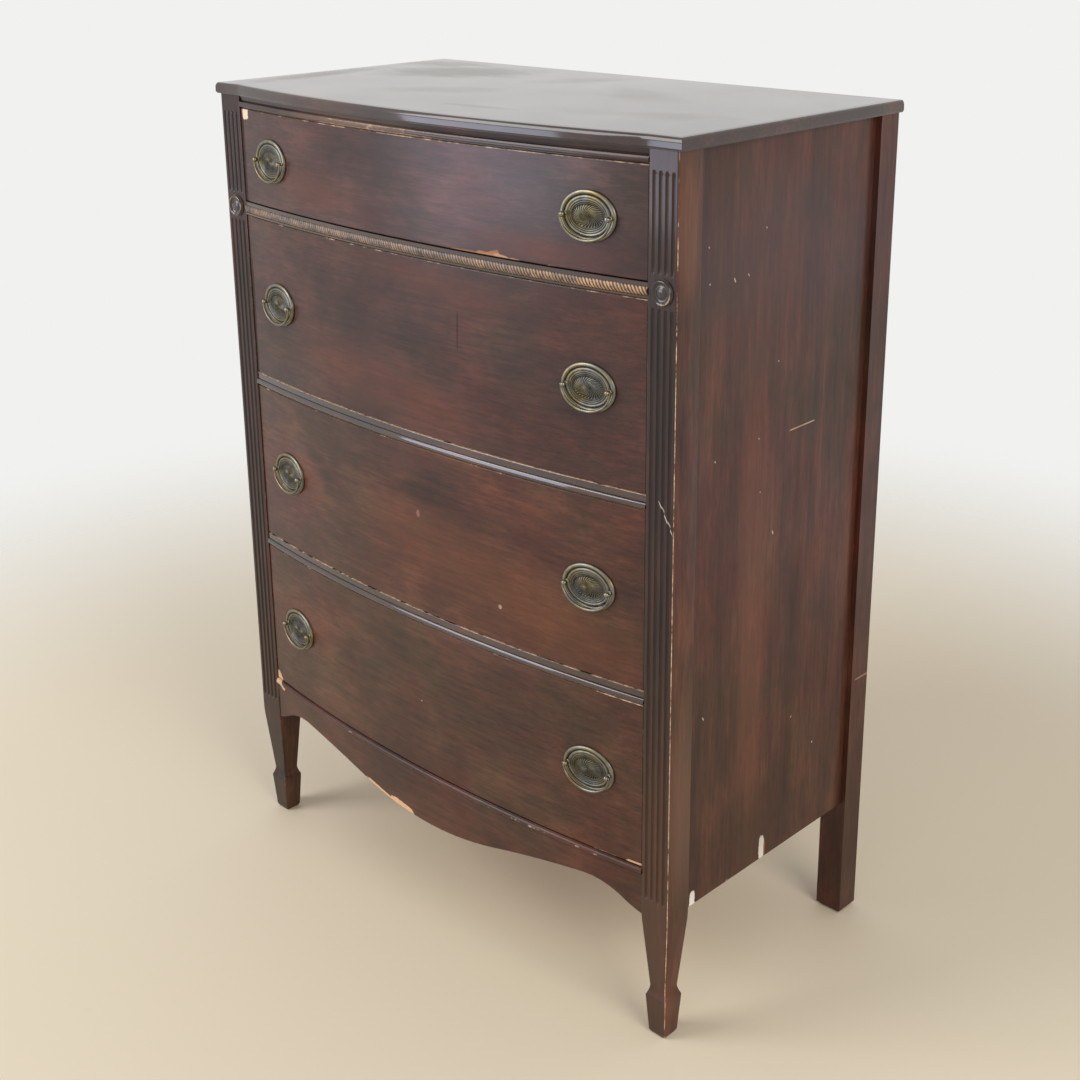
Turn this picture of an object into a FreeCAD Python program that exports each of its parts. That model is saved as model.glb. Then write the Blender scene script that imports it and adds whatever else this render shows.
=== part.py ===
import FreeCAD, Part
import math
import os

V = FreeCAD.Vector

# Bow front chest of four drawers. Millimetres, +Z up, the front faces -Y.
# The origin is the middle of the footprint, on the floor.

# ---------------------------------------------------------------- driving dimensions
# Case, measured over the posts
case_width = 844.0
case_depth = 429.0
case_height = 1153.0            # floor to the underside of the top board
face_bow = 30.0                 # how far rails and drawers swell ahead of the posts
# Top board and how far it stands over the posts
top_thickness = 15.0
top_bow = 37.0
side_overhang = 6.0
front_overhang = 4.0
back_overhang = 1.0
top_step_height = 2.6           # the small step run round the lower arris
top_step_depth = 1.2
top_easing = 1.6                # rounding of the upper arris
# Heights down the front; the lowest drawer has what is left between the others and the apron
opening_height_1 = 133.5        # the top drawer's
opening_height_2 = 236.0
opening_height_3 = 237.0
apron_top = 246.0
rail_height = 18.0
rope_rail_height = 18.5
frieze_height = 17.0
side_panel_bottom = 180.0
# Front posts with fluting, tapered leg and spade foot
post_width = 43.0
post_depth = 42.0
taper_start = 188.0
taper_easing = 23.0             # length of the curve that leads into the taper
neck_height = 72.0
neck_size = 25.0
neck_cove = 1.1                 # hollow of the curve from the neck out to the spade
spade_height = 58.0
spade_size = 33.4
foot_size = 26.4
foot_bevel = 2.2
foot_bevel_height = 4.0
flute_count = 4
flute_pitch = 9.3
flute_width = 5.0
flute_depth = 2.0
flute_flat = 2.4                # width of its bottom, between two sloping sides
flute_top_margin = 23.0         # plain wood between the flutes and the top board
flute_foot = 205.0              # height at which the flutes run out
rosette_diameter = 32.0
rosette_ring = 4.2              # thickness at the raised ring
rosette_ring_diameter = 27.0
rosette_hollow = 1.6            # thickness at the bottom of the hollow
rosette_hollow_diameter = 19.0
rosette_boss = 3.4              # thickness at the middle
rosette_boss_diameter = 8.0
rosette_margin = 3.0            # plain wood round the rosette
rosette_drop = 8.2              # rosette centre below the top of the rope rail
# Back posts
back_post_width = 40.0
back_post_depth = 38.0
back_foot_bevel = 4.0
# Joints between fixed pieces
tenon_length = 12.0
tenon_thickness = 12.0
tenon_shoulder = 3.0            # shoulder above and below each tenon
tenon_set_back = 13.0           # post face to tenon
joint_clearance = 0.1
thin_bar_flat_count = 8         # screws and bores are drawn with this many sides
oval_flat_count = 20            # and rosettes, plates and bails with this many round their ovals
# Panels
side_panel_thickness = 8.0
side_panel_recess = 8.0         # outer post face to outer panel face
panel_groove_depth = 7.0
back_panel_thickness = 5.0
back_rebate = 10.0
dust_panel_thickness = 4.0
dust_groove_depth = 6.0
# Front rails
rail_foot = 1.0                 # flat under the lower reed
reed_height = 4.6               # the lower, larger of the two reeds
small_reed_height = 3.4
reed_quirk = 0.7                # height of the groove between the reeds
quirk_depth = 0.6
reed_projection = 2.4
small_reed_projection = 1.2
hollow_depth = 4.0
hollow_edge = 1.4               # depth at the hollow's upper edge
rail_fillet = 2.0
rope_height = 10.6
rope_seat = 3.0                 # depth of the channel the rope lies in
rope_projection = 2.6
rope_fillet = 3.2               # flat below the rope
# Apron
apron_thickness = 20.0
apron_inset = 1.0
apron_bead_height = 9.0
apron_bead_projection = 2.2
# Its lower edge runs from each post over a scoop and a shoulder to a crest, then down a long fall
# to the sweep in the middle. Reaches are from the post; bulges are how far a stretch bows off its chord
apron_end_height = 178.0
apron_scoop_rise = 14.5
apron_scoop_reach = 32.0
apron_scoop_bulge = 1.0
apron_shoulder_rise = 12.0
apron_shoulder_reach = 92.0
apron_shoulder_bulge = 4.5
apron_fall = 28.5
apron_fall_bulge = 2.8
apron_sweep_width = 250.0
apron_sweep_drop = 13.5
bottom_rail_height = 18.0
# Carcase framing
runner_width = 60.0
guide_height = 16.0
top_back_rail_height = 40.0
bottom_back_rail_height = 44.0
stop_width = 26.0
stop_depth = 16.0
stop_height = 5.0
stop_spacing = 520.0
corner_block_size = 30.0
corner_block_height = 34.0
screw_spacing = 560.0
screw_diameter = 4.2
screw_head_diameter = 8.4
screw_head_height = 2.0
screw_bite = 9.0                # thread in the top board
# Drawers
drawer_gap = 1.5                # all round each front
drawer_inset = 1.5              # front face behind the bow of the rails
front_thickness = 19.0
drawer_side_thickness = 12.0
drawer_back_thickness = 10.0
drawer_bottom_thickness = 5.0
bottom_groove_depth = 5.0
bottom_groove_lift = 8.0        # lower edge of the sides to the groove
side_top_step = 3.0             # sides stop below the top of the front
back_top_step = 5.0
drawer_back_space = 6.0         # behind the closed drawer
runner_clearance = 0.3
guide_clearance = 0.5
tail_pitch = 57.0
tail_length = 12.0
tail_flare = 3.0                # each side, from root to tip
pin_width = 6.0                 # between the tails' tips
# Brass pulls
pull_reach = 79.5               # end of the drawer to the middle of a pull
plate_width = 79.0
plate_height = 61.0
plate_base = 1.2
rim_width = 3.6
rim_height = 3.0
rim_bevel = 1.2
boss_inset = 14.0               # edge of the plate to the foot of the boss
boss_bevel = 5.0
boss_height = 3.6
boss_flat_count = 12
pull_boring = 63.5
pull_standoff = 7.6             # drawer face to the bail's axis
ball_size = 6.4
ball_bevel = 1.8
neck_width = 4.6
shank_width = 3.4
shank_clearance = 0.2
rove_width = 9.0                # washer that the shank's end is riveted over
rove_thickness = 1.6
rivet_length = 1.0
bail_thickness = 4.2
bail_width = 4.4                # at its back
bail_front_width = 2.2
bail_drop = 28.0
bail_gap = 0.3                  # ball to the bail's end
pivot_diameter = 2.7
pivot_clearance = 0.05

# ---------------------------------------------------------------- derived places
half_case = case_width / 2
bay_half = half_case - post_width               # half the width between the front posts
top_depth = case_depth + front_overhang + back_overhang
top_front_y = (top_bow - top_depth) / 2
top_back_y = top_front_y + top_depth
post_face_y = top_front_y + front_overhang
post_rear_y = post_face_y + post_depth
case_back_y = post_face_y + case_depth
back_post_front_y = case_back_y - back_post_depth
back_bay_half = half_case - back_post_width
panel_outer_x = half_case - side_panel_recess
panel_inner_x = panel_outer_x - side_panel_thickness
runner_inner_x = panel_inner_x - runner_width

# Top and bottom of each drawer's opening, and the rail below it
case_top = case_height
height = case_top + top_thickness
rail_below = {1: rope_rail_height, 2: rail_height, 3: rail_height, 4: bottom_rail_height}
opening_top = {1: case_top - frieze_height}
opening_bottom = {1: opening_top[1] - opening_height_1}
opening_top[2] = opening_bottom[1] - rail_below[1]
opening_bottom[2] = opening_top[2] - opening_height_2
opening_top[3] = opening_bottom[2] - rail_below[2]
opening_bottom[3] = opening_top[3] - opening_height_3
opening_top[4] = opening_bottom[3] - rail_below[3]
opening_bottom[4] = apron_top

rail_blank = post_depth + 2 * face_bow          # depth of a front rail before its back is cut flat


# ---------------------------------------------------------------- shape helpers
def box(x0, x1, y0, y1, z0, z1):
    """A block given by its two ends along each axis."""
    return Part.makeBox(x1 - x0, y1 - y0, z1 - z0, V(x0, y0, z0))


def cylinder(diameter, start, end):
    """A round bar from one point to another."""
    along = end - start
    return Part.makeCylinder(diameter / 2, along.Length, start, along)


def thin_bar(diameter, start, end):
    """A slender bar with a few flat sides, inside the round one of this diameter."""
    round_end = Part.Circle(start, end - start, diameter / 2).toShape()
    section = Part.makePolygon(round_end.discretize(thin_bar_flat_count + 1))
    return Part.Face(section).extrude(end - start)


def thin_hole(diameter, start, end):
    """A hole with the same few sides, outside the round one of this diameter."""
    return thin_bar(diameter / math.cos(math.pi / thin_bar_flat_count), start, end)


def oval_wire(size, y, flat_count):
    """An oval of few flats, half its width and half its height given, square to Y at the origin."""
    points = []
    for index in range(flat_count + 1):
        turn = 2 * math.pi * index / flat_count
        points.append(V(size[0] * math.cos(turn), y, size[1] * math.sin(turn)))
    return Part.makePolygon(points)


def oval_step(size0, y0, size1, y1, flat_count=oval_flat_count):
    """A disc that narrows or widens from one oval to another."""
    return Part.makeLoft([oval_wire(size0, y0, flat_count), oval_wire(size1, y1, flat_count)], True, True)


def mirrored(shape):
    """The same piece on the other side of the chest."""
    return shape.mirror(V(0, 0, 0), V(1, 0, 0))


def joined(shapes):
    """One solid from pieces that overlap or meet."""
    return shapes[0].multiFuse(shapes[1:]).removeSplitter()


def arc_radius(half_chord, rise):
    """Radius of the arc that stands this far off a chord of twice this length."""
    return (half_chord ** 2 + rise ** 2) / (2 * rise)


def bulged(start, end, rise):
    """The (through, end) step of an arc that stands off its chord, to the left on the way."""
    across = (end[0] - start[0], end[1] - start[1])
    length = math.hypot(*across)
    middle = ((start[0] + end[0]) / 2, (start[1] + end[1]) / 2)
    through = (middle[0] - across[1] / length * rise, middle[1] + across[0] / length * rise)
    return through, end


def outline(place, start, *steps):
    """A closed wire. A step is a point to draw a line to, or a (through, end) pair for an arc."""
    edges = []
    here = start
    for step in steps + (start,):
        if isinstance(step[0], tuple):
            through, there = step
            edges.append(Part.Arc(place(*here), place(*through), place(*there)).toShape())
        else:
            there = step
            if (place(*there) - place(*here)).Length > 1e-6:
                edges.append(Part.LineSegment(place(*here), place(*there)).toShape())
        here = there
    return Part.Wire(edges)


def symmetric(place, start, *steps):
    """A closed wire drawn by its right half; the left half is the same, turned over."""
    ends = [start] + [step[1] if isinstance(step[0], tuple) else step for step in steps]
    left = [(-ends[-1][0], ends[-1][1])]
    for step, end in zip(reversed(steps), reversed(ends[:-1])):
        turned = (-end[0], end[1])
        if isinstance(step[0], tuple):
            turned = ((-step[0][0], step[0][1]), turned)
        left.append(turned)
    return outline(place, start, *steps, *left)


# The front is one round bow between the posts; every rail and drawer follows it
bow_radius = arc_radius(bay_half, face_bow)
bow_centre_y = post_face_y + bow_radius - face_bow


def bow_y(x, inset=0.0):
    """Y of the bow at x, for a surface that lies inset behind the rails' face."""
    return bow_centre_y - math.sqrt((bow_radius - inset) ** 2 - x * x)


def bow_board(half_width, front_inset, back_y, z0, z1):
    """A board with a bowed front edge and a straight back edge."""
    end_y = bow_y(half_width, front_inset)
    wire = outline(lambda x, y: V(x, y, z0),
                   (-half_width, end_y),
                   ((0.0, bow_y(0.0, front_inset)), (half_width, end_y)),
                   (half_width, back_y),
                   (-half_width, back_y))
    return Part.Face(wire).extrude(V(0, 0, z1 - z0))


def bow_slab(half_width, front_inset, back_inset, z0, z1):
    """A board bent to the bow on both faces."""
    front_y = bow_y(half_width, front_inset)
    back_y = bow_y(half_width, back_inset)
    wire = outline(lambda x, y: V(x, y, z0),
                   (-half_width, front_y),
                   ((0.0, bow_y(0.0, front_inset)), (half_width, front_y)),
                   (half_width, back_y),
                   ((0.0, bow_y(0.0, back_inset)), (-half_width, back_y)))
    return Part.Face(wire).extrude(V(0, 0, z1 - z0))


def bow_moulding(half_width, start, *steps):
    """A section of (inset, z) points run round the bow and cut off square at both ends."""
    wire = outline(lambda inset, z: V(0, bow_y(0.0, inset), z), start, *steps)
    sweep = 2.2 * math.degrees(math.asin(half_width / (bow_radius - case_depth / 2)))
    face = Part.Face(wire)
    axis = V(0, bow_centre_y, 0)
    face.rotate(axis, V(0, 0, 1), -sweep / 2)
    run = face.revolve(axis, V(0, 0, 1), sweep)
    return run.common(box(-half_width, half_width, -case_depth, case_depth, 0, height))


def save(name, shape):
    """Write one node; pieces that are alike go in one node as separate solids."""
    if isinstance(shape, list):
        shape = Part.makeCompound(shape)
    shape.exportStep("parts/" + name + ".step")


os.makedirs("parts", exist_ok=True)


# ---------------------------------------------------------------- top board
def top_layer(inset, z0, z1):
    """The top's bowed outline, drawn inset from its edge on the front and both ends."""
    half = half_case + side_overhang - inset
    front_y = top_front_y + inset
    wire = outline(lambda x, y: V(x, y, z0),
                   (-half, front_y),
                   (-bay_half, front_y),
                   ((0.0, front_y - top_bow), (bay_half, front_y)),
                   (half, front_y),
                   (half, top_back_y),
                   (-half, top_back_y))
    return Part.Face(wire).extrude(V(0, 0, z1 - z0))


def top_board():
    step_top = case_top + top_step_height
    board = joined([top_layer(top_step_depth, case_top, step_top), top_layer(0.0, step_top, height)])
    upper_arris = [edge for edge in board.Edges
                   if edge.BoundBox.ZMin > height - 0.01 and edge.BoundBox.YMin < top_back_y - 0.01]
    return board.makeChamfer(top_easing, upper_arris)


# ---------------------------------------------------------------- front rails
def reed(z0, reed_tall, projection):
    """A reed worked as three flats, as outline steps going up from z0."""
    slope = reed_tall / 4
    return [(-projection, z0 + slope), (-projection, z0 + reed_tall - slope),
            (quirk_depth, z0 + reed_tall)]


def moulded_rail(z0, z1, fillet):
    """A front rail: reeds below, a hollow above them, and a fillet at the top if it has one."""
    first = z0 + rail_foot
    second = first + reed_height + reed_quirk
    hollow_bottom = second + small_reed_height
    hollow_top = z1 - fillet
    steps = [(quirk_depth, z0), (quirk_depth, first)]
    steps.extend(reed(first, reed_height, reed_projection))
    steps.append((quirk_depth, second))
    steps.extend(reed(second, small_reed_height, small_reed_projection))
    steps.append((hollow_depth, (hollow_bottom + hollow_top) / 2))
    steps.append((hollow_edge, hollow_top))
    if fillet > 0.0:
        steps.extend([(0.0, hollow_top), (0.0, z1)])
    steps.append((rail_blank, z1))
    rail = bow_moulding(bay_half, (rail_blank, z0), *steps)
    return rail.common(box(-bay_half, bay_half, -case_depth, post_rear_y, z0, z1))


def rope_rail_board(z0, z1):
    """The rail between drawers 1 and 2, with a channel for the rope moulding."""
    channel_bottom = z0 + rope_fillet
    channel_top = channel_bottom + rope_height
    rail = bow_moulding(bay_half, (rail_blank, z0),
                        (quirk_depth, z0),
                        (0.0, z0 + quirk_depth),
                        (0.0, channel_bottom),
                        (rope_seat, channel_bottom),
                        (rope_seat, channel_top),
                        (0.0, channel_top),
                        (0.0, z1),
                        (rail_blank, z1))
    return rail.common(box(-bay_half, bay_half, -case_depth, post_rear_y, z0, z1))


def rope():
    """Bead that the twisted strands are carved from, worked to five flats and glued in its channel."""
    z0 = opening_top[2] + rope_fillet + joint_clearance
    z1 = z0 + rope_height - 2 * joint_clearance
    slope = (z1 - z0) / 4
    return bow_moulding(bay_half - joint_clearance, (rope_seat, z0),
                        (0.0, z0),
                        (-rope_projection, z0 + slope),
                        (-rope_projection, z1 - slope),
                        (0.0, z1),
                        (rope_seat, z1))


def tenon(z0, z1, clearance=0.0):
    """Stub tenon on a rail's right end, or the mortise for it."""
    return box(bay_half, bay_half + tenon_length + 4 * clearance,
               post_face_y + tenon_set_back - clearance,
               post_face_y + tenon_set_back + tenon_thickness + clearance,
               z0 + tenon_shoulder - clearance, z1 - tenon_shoulder + clearance)


# Bottom and top of every member that is tenoned into the front posts
tenoned = {
    "frieze_rail": (opening_top[1], case_top),
    "rope_rail": (opening_top[2], opening_bottom[1]),
    "middle_rail": (opening_top[3], opening_bottom[2]),
    "lower_rail": (opening_top[4], opening_bottom[3]),
    "bottom_rail": (apron_top - bottom_rail_height, apron_top),
}


def with_tenons(rail, name):
    right = tenon(*tenoned[name])
    return joined([rail, right, mirrored(right)])


def bottom_rail():
    z0, z1 = tenoned["bottom_rail"]
    return bow_board(bay_half, apron_inset + apron_thickness, post_rear_y, z0, z1)


# ---------------------------------------------------------------- apron
def apron():
    """Bent board with a bead along its top and a serpentine lower edge."""
    end = (bay_half, apron_end_height)
    turn = (bay_half - apron_scoop_reach, end[1] + apron_scoop_rise)
    crest = (bay_half - apron_shoulder_reach, turn[1] + apron_shoulder_rise)
    sweep = (apron_sweep_width / 2, crest[1] - apron_fall)
    centre_height = sweep[1] - apron_sweep_drop
    sweep_radius = arc_radius(apron_sweep_width / 2, apron_sweep_drop)
    half_way = apron_sweep_width / 4
    half_way_z = centre_height + sweep_radius - math.sqrt(sweep_radius ** 2 - half_way ** 2)

    bead_bottom = apron_top - apron_bead_height
    slope = apron_bead_height / 4
    root = apron_inset + apron_thickness / 2
    board = bow_slab(bay_half, apron_inset, apron_inset + apron_thickness,
                     centre_height - apron_bead_height, apron_top)
    bead = bow_moulding(bay_half, (root, bead_bottom),
                        (apron_inset, bead_bottom),
                        (-apron_bead_projection, bead_bottom + slope),
                        (-apron_bead_projection, apron_top - slope),
                        (apron_inset, apron_top),
                        (root, apron_top))
    shape = symmetric(lambda x, z: V(x, -case_depth, z),
                      (bay_half, apron_top),
                      end,
                      bulged(end, turn, apron_scoop_bulge),
                      bulged(turn, crest, -apron_shoulder_bulge),
                      bulged(crest, sweep, -apron_fall_bulge),
                      ((half_way, half_way_z), (0.0, centre_height)))
    sawn = Part.Face(shape).extrude(V(0, 2 * case_depth, 0))
    return joined([board, bead]).common(sawn)


# ---------------------------------------------------------------- posts and panels
def leg_outline(place, half_width):
    """One face of a front post: straight, eased into a taper, a neck, and the spade foot."""
    neck = neck_size / 2
    spade = spade_size / 2
    foot = foot_size / 2
    slope = (half_width - neck) / (taper_start - taper_easing / 2 - neck_height)
    eased = (half_width - slope * taper_easing / 2, taper_start - taper_easing)
    easing_middle = (half_width - slope * taper_easing / 8, taper_start - taper_easing / 2)
    return symmetric(place,
                     (half_width, case_top),
                     (half_width, taper_start),
                     (easing_middle, eased),
                     (neck, neck_height),
                     bulged((neck, neck_height), (spade, spade_height), -neck_cove),
                     (foot, foot_bevel_height),
                     (foot - foot_bevel, 0.0))


def side_panel_slab(groove, clearance=0.0):
    """The right side panel, or the space it is let into."""
    return box(panel_inner_x - clearance, panel_outer_x + clearance,
               post_rear_y - groove - clearance, back_post_front_y + groove + clearance,
               side_panel_bottom - clearance, case_top)


def flute(x, z0, z1):
    """Hollow groove on a post's front face, scooped out at both ends."""
    half = flute_width / 2
    flat = flute_flat / 2
    section = outline(lambda a, depth: V(x + a, post_face_y + depth, z0),
                      (-half, -flute_depth), (-half, 0.0), (-flat, flute_depth), (flat, flute_depth),
                      (half, 0.0), (half, -flute_depth))
    hollow = Part.Face(section).extrude(V(0, 0, z1 - z0))
    scoop = outline(lambda z, depth: V(x - flute_width, post_face_y + depth, z),
                    (z0, -flute_depth), (z0, 0.0), (z0 + flute_width, 2 * flute_depth),
                    (z1 - flute_width, 2 * flute_depth), (z1, 0.0), (z1, -flute_depth))
    return hollow.common(Part.Face(scoop).extrude(V(2 * flute_width, 0, 0)))


post_centre_x = half_case - post_width / 2
rosette_z = opening_bottom[1] - rosette_drop


def front_post():
    """Right front post."""
    middle_y = post_face_y + post_depth / 2
    across = Part.Face(leg_outline(lambda a, z: V(post_centre_x + a, -case_depth, z), post_width / 2))
    along = Part.Face(leg_outline(lambda a, z: V(0, middle_y + a, z), post_depth / 2))
    post = across.extrude(V(0, 2 * case_depth, 0)).common(along.extrude(V(case_width, 0, 0)))
    clear = rosette_diameter / 2 + rosette_margin
    flutes = []
    for index in range(flute_count):
        x = post_centre_x + (index - (flute_count - 1) / 2) * flute_pitch
        flutes.append(flute(x, rosette_z + clear, case_top - flute_top_margin))
        flutes.append(flute(x, flute_foot, rosette_z - clear))
    mortises = [tenon(z0, z1, joint_clearance) for z0, z1 in tenoned.values()]
    return post.cut(flutes + mortises + [side_panel_slab(panel_groove_depth, joint_clearance)])


def rosette():
    """Turned boss: a raised ring round a hollow with a low dome in it."""
    rim, ring, hollow, boss = [(diameter / 2, diameter / 2) for diameter in (
        rosette_diameter, rosette_ring_diameter, rosette_hollow_diameter, rosette_boss_diameter)]
    turned = oval_step(rim, 0.0, ring, -rosette_ring)
    turned = turned.cut(oval_step(ring, -rosette_ring, hollow, -rosette_hollow))
    turned = joined([turned, oval_step(hollow, -rosette_hollow, boss, -rosette_boss)])
    turned.translate(V(post_centre_x, post_face_y, rosette_z))
    return turned


def back_rebate_slab(half_width):
    return box(-half_width, half_width, case_back_y - back_panel_thickness, case_back_y,
               side_panel_bottom, case_top)


def back_post():
    """Right back post: square, with a small bevel round its foot."""
    outer = box(back_bay_half, half_case, back_post_front_y, case_back_y, 0, case_top)
    floor_edges = [edge for edge in outer.Edges if edge.BoundBox.ZMax < 0.01]
    bevelled = outer.makeChamfer(back_foot_bevel, floor_edges)
    return bevelled.cut([side_panel_slab(panel_groove_depth, joint_clearance),
                         back_rebate_slab(back_bay_half + back_rebate)])


# ---------------------------------------------------------------- carcase framing
frame_levels = {number: (opening_bottom[number] - rail_below[number], opening_bottom[number])
                for number in (1, 2, 3, 4)}
dust_levels = (1, 2, 3)


def dust_panel(number, clearance=0.0):
    """Thin panel that closes the frame under a drawer, let into grooves on four sides."""
    middle = sum(frame_levels[number]) / 2
    reach = dust_groove_depth + clearance
    return box(-runner_inner_x - reach, runner_inner_x + reach,
               post_rear_y - reach, back_post_front_y + reach,
               middle - dust_panel_thickness / 2 - clearance,
               middle + dust_panel_thickness / 2 + clearance)


dust_slots = [dust_panel(number, joint_clearance) for number in dust_levels]


def runner(number):
    z0, z1 = frame_levels[number]
    bar = box(runner_inner_x, panel_inner_x, post_rear_y, back_post_front_y, z0, z1)
    return bar.cut(dust_slots)


def guide(number):
    z0 = opening_bottom[number]
    inner = bay_half - drawer_gap + guide_clearance
    return box(inner, panel_inner_x, post_rear_y, back_post_front_y, z0, z0 + guide_height)


def kicker():
    """Strip over the top drawer's side that stops the open drawer from tipping."""
    return box(runner_inner_x, panel_inner_x, post_rear_y, back_post_front_y, opening_top[1], case_top)


def back_rails():
    spans = [frame_levels[number] for number in dust_levels]
    spans.append((apron_top - bottom_back_rail_height, apron_top))
    spans.append((case_top - top_back_rail_height, case_top))
    back_y = case_back_y - back_panel_thickness
    rails = [box(-back_bay_half, back_bay_half, back_post_front_y, back_y, z0, z1) for z0, z1 in spans]
    return [rail.cut(dust_slots + screw_spaces) for rail in rails]


def stop(number, x):
    """Block glued on the rail, just behind the closed drawer's front."""
    inner_x = abs(x) - stop_width / 2
    front_y = bow_y(inner_x, drawer_inset + front_thickness) + runner_clearance
    far_y = bow_y(abs(x) + stop_width / 2, drawer_inset + front_thickness) + runner_clearance
    start_y = max(front_y, far_y)
    z0 = opening_bottom[number]
    return box(x - stop_width / 2, x + stop_width / 2, start_y, start_y + stop_depth, z0, z0 + stop_height)


def corner_block(y, size):
    """Three-cornered glue block under a runner, between the side panel and a post's face at y."""
    z0 = frame_levels[4][0] - corner_block_height
    wire = outline(lambda x, dy: V(x, y + dy, z0),
                   (panel_inner_x, 0.0), (panel_inner_x, size), (panel_inner_x - abs(size), 0.0))
    return Part.Face(wire).extrude(V(0, 0, corner_block_height))


# ---------------------------------------------------------------- screws that hold the top down
def screw(x, y, rail_bottom):
    """Round-headed wood screw driven up through a rail into the top board."""
    head = thin_bar(screw_head_diameter, V(x, y, rail_bottom - screw_head_height), V(x, y, rail_bottom))
    return joined([head, thin_bar(screw_diameter, V(x, y, rail_bottom), V(x, y, case_top + screw_bite))])


def screw_space(x, y, rail_bottom):
    return thin_hole(screw_diameter + 2 * joint_clearance,
                     V(x, y, rail_bottom), V(x, y, case_top + screw_bite + joint_clearance))


screw_places = []
for x in (-screw_spacing / 2, screw_spacing / 2):
    screw_places.append((x, post_rear_y - tenon_set_back, opening_top[1]))
    screw_places.append((x, back_post_front_y + back_post_depth / 3, case_top - top_back_rail_height))
screws = [screw(*place) for place in screw_places]
screw_spaces = [screw_space(*place) for place in screw_places]


# ---------------------------------------------------------------- drawers
drawer_half = bay_half - drawer_gap
side_inner_x = drawer_half - drawer_side_thickness
drawer_end_y = back_post_front_y - drawer_back_space


def tails(z0, z1):
    """Dovetails on the front end of a right drawer side."""
    count = round((z1 - z0) / tail_pitch)
    pitch = (z1 - z0) / count
    root_y = bow_y(side_inner_x, drawer_inset + front_thickness) + drawer_side_thickness / 4
    tip_y = bow_y(drawer_half, drawer_inset + front_thickness) - tail_length
    shapes = []
    for index in range(count):
        middle = z0 + (index + 0.5) * pitch
        half_tip = (pitch - pin_width) / 2
        half_root = half_tip - tail_flare
        wire = outline(lambda y, z: V(side_inner_x, y, z),
                       (root_y, middle - half_root), (tip_y, middle - half_tip),
                       (tip_y, middle + half_tip), (root_y, middle + half_root))
        shapes.append(Part.Face(wire).extrude(V(drawer_side_thickness, 0, 0)))
    return shapes


def drawer_bottom(z0, clearance=0.0):
    """Thin bottom panel, let into grooves in the sides and the front."""
    reach = bottom_groove_depth + clearance
    inset = drawer_inset + front_thickness - reach
    return bow_board(side_inner_x + reach, inset, drawer_end_y,
                     z0 - clearance, z0 + drawer_bottom_thickness + clearance)


def drawer(number):
    """All wooden pieces of one drawer, by name."""
    front_z0 = opening_bottom[number] + drawer_gap
    front_z1 = opening_top[number] - drawer_gap
    side_z0 = opening_bottom[number] + runner_clearance
    side_z1 = front_z1 - side_top_step
    bottom_z0 = side_z0 + bottom_groove_lift
    bottom_z1 = bottom_z0 + drawer_bottom_thickness

    blank = bow_slab(drawer_half, drawer_inset, drawer_inset + front_thickness, front_z0, front_z1)
    right_tails = tails(front_z0, side_z1)
    left_tails = [mirrored(tail) for tail in right_tails]
    groove = drawer_bottom(bottom_z0, joint_clearance)
    holes = []
    for side in (-1, 1):
        holes.extend(pull_placed(shape, side, number) for shape in shank_spaces)
    front = blank.cut(right_tails + left_tails + [groove] + holes)

    tail_start_y = bow_y(0.0, drawer_inset)
    side_blank = box(side_inner_x, drawer_half, tail_start_y, drawer_end_y, side_z0, side_z1)
    behind_front = bow_board(bay_half, drawer_inset + front_thickness, drawer_end_y, side_z0, side_z1)
    side_tails = [tail.common(blank) for tail in right_tails]
    right = joined([side_blank.common(behind_front)] + side_tails).cut(groove)

    back = box(-side_inner_x, side_inner_x, drawer_end_y - drawer_back_thickness, drawer_end_y,
               bottom_z1, side_z1 - back_top_step)
    return {"front": front, "side_right": right, "side_left": mirrored(right), "back": back,
            "bottom": drawer_bottom(bottom_z0)}


# ---------------------------------------------------------------- brass pulls
# Each pull is drawn at the origin: X along the drawer, -Y out of it, Z up, face of the wood at y = 0
def pull_placed(shape, side, number):
    """Put a pull's piece on a drawer's face, square to the bow. side is -1 left, +1 right."""
    x = side * (drawer_half - pull_reach)
    turn = math.degrees(math.asin(x / (bow_radius - drawer_inset)))
    placed = shape.copy()
    placed.rotate(V(0, 0, 0), V(0, 0, 1), turn)
    z = (opening_bottom[number] + opening_top[number]) / 2
    placed.translate(V(x, bow_y(x, drawer_inset), z))
    return placed


def plate_oval(inset):
    return plate_width / 2 - inset, plate_height / 2 - inset


def back_plate():
    """Stamped oval plate: a raised rim, a hollow and a raised boss in the middle."""
    rim = oval_step(plate_oval(0.0), 0.0, plate_oval(rim_bevel), -rim_height)
    hollow = oval_step(plate_oval(rim_width), -rim_height, plate_oval(rim_width + rim_bevel), -plate_base)
    boss = oval_step(plate_oval(boss_inset), -plate_base,
                     plate_oval(boss_inset + boss_bevel), -boss_height, boss_flat_count)
    return joined([rim.cut(hollow), boss]).cut(shank_spaces)


# The bow falls away from a pull's flat back, so its roves seat a little further in
rove_reach = (pull_boring + rove_width) / 2
rove_seat = front_thickness + bow_radius - math.sqrt(bow_radius ** 2 - rove_reach ** 2)


def square_bar(x, width, y0, y1):
    return box(x - width / 2, x + width / 2, y0, y1, -width / 2, width / 2)


def pull_post(x):
    """Post with a neck that clamps the plate, and a head that the bail hangs in."""
    head = square_bar(x, ball_size, -pull_standoff - ball_size / 2, -pull_standoff + ball_size / 2)
    head = head.makeChamfer(ball_bevel, head.Edges)
    neck = square_bar(x, neck_width, -pull_standoff, -plate_base)
    shank = square_bar(x, shank_width, -plate_base, rove_seat + rove_thickness + rivet_length)
    bore = thin_hole(pivot_diameter + 2 * pivot_clearance,
                     V(x - ball_size, -pull_standoff, 0), V(x + ball_size, -pull_standoff, 0))
    return joined([head, neck, shank]).cut(bore)


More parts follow.
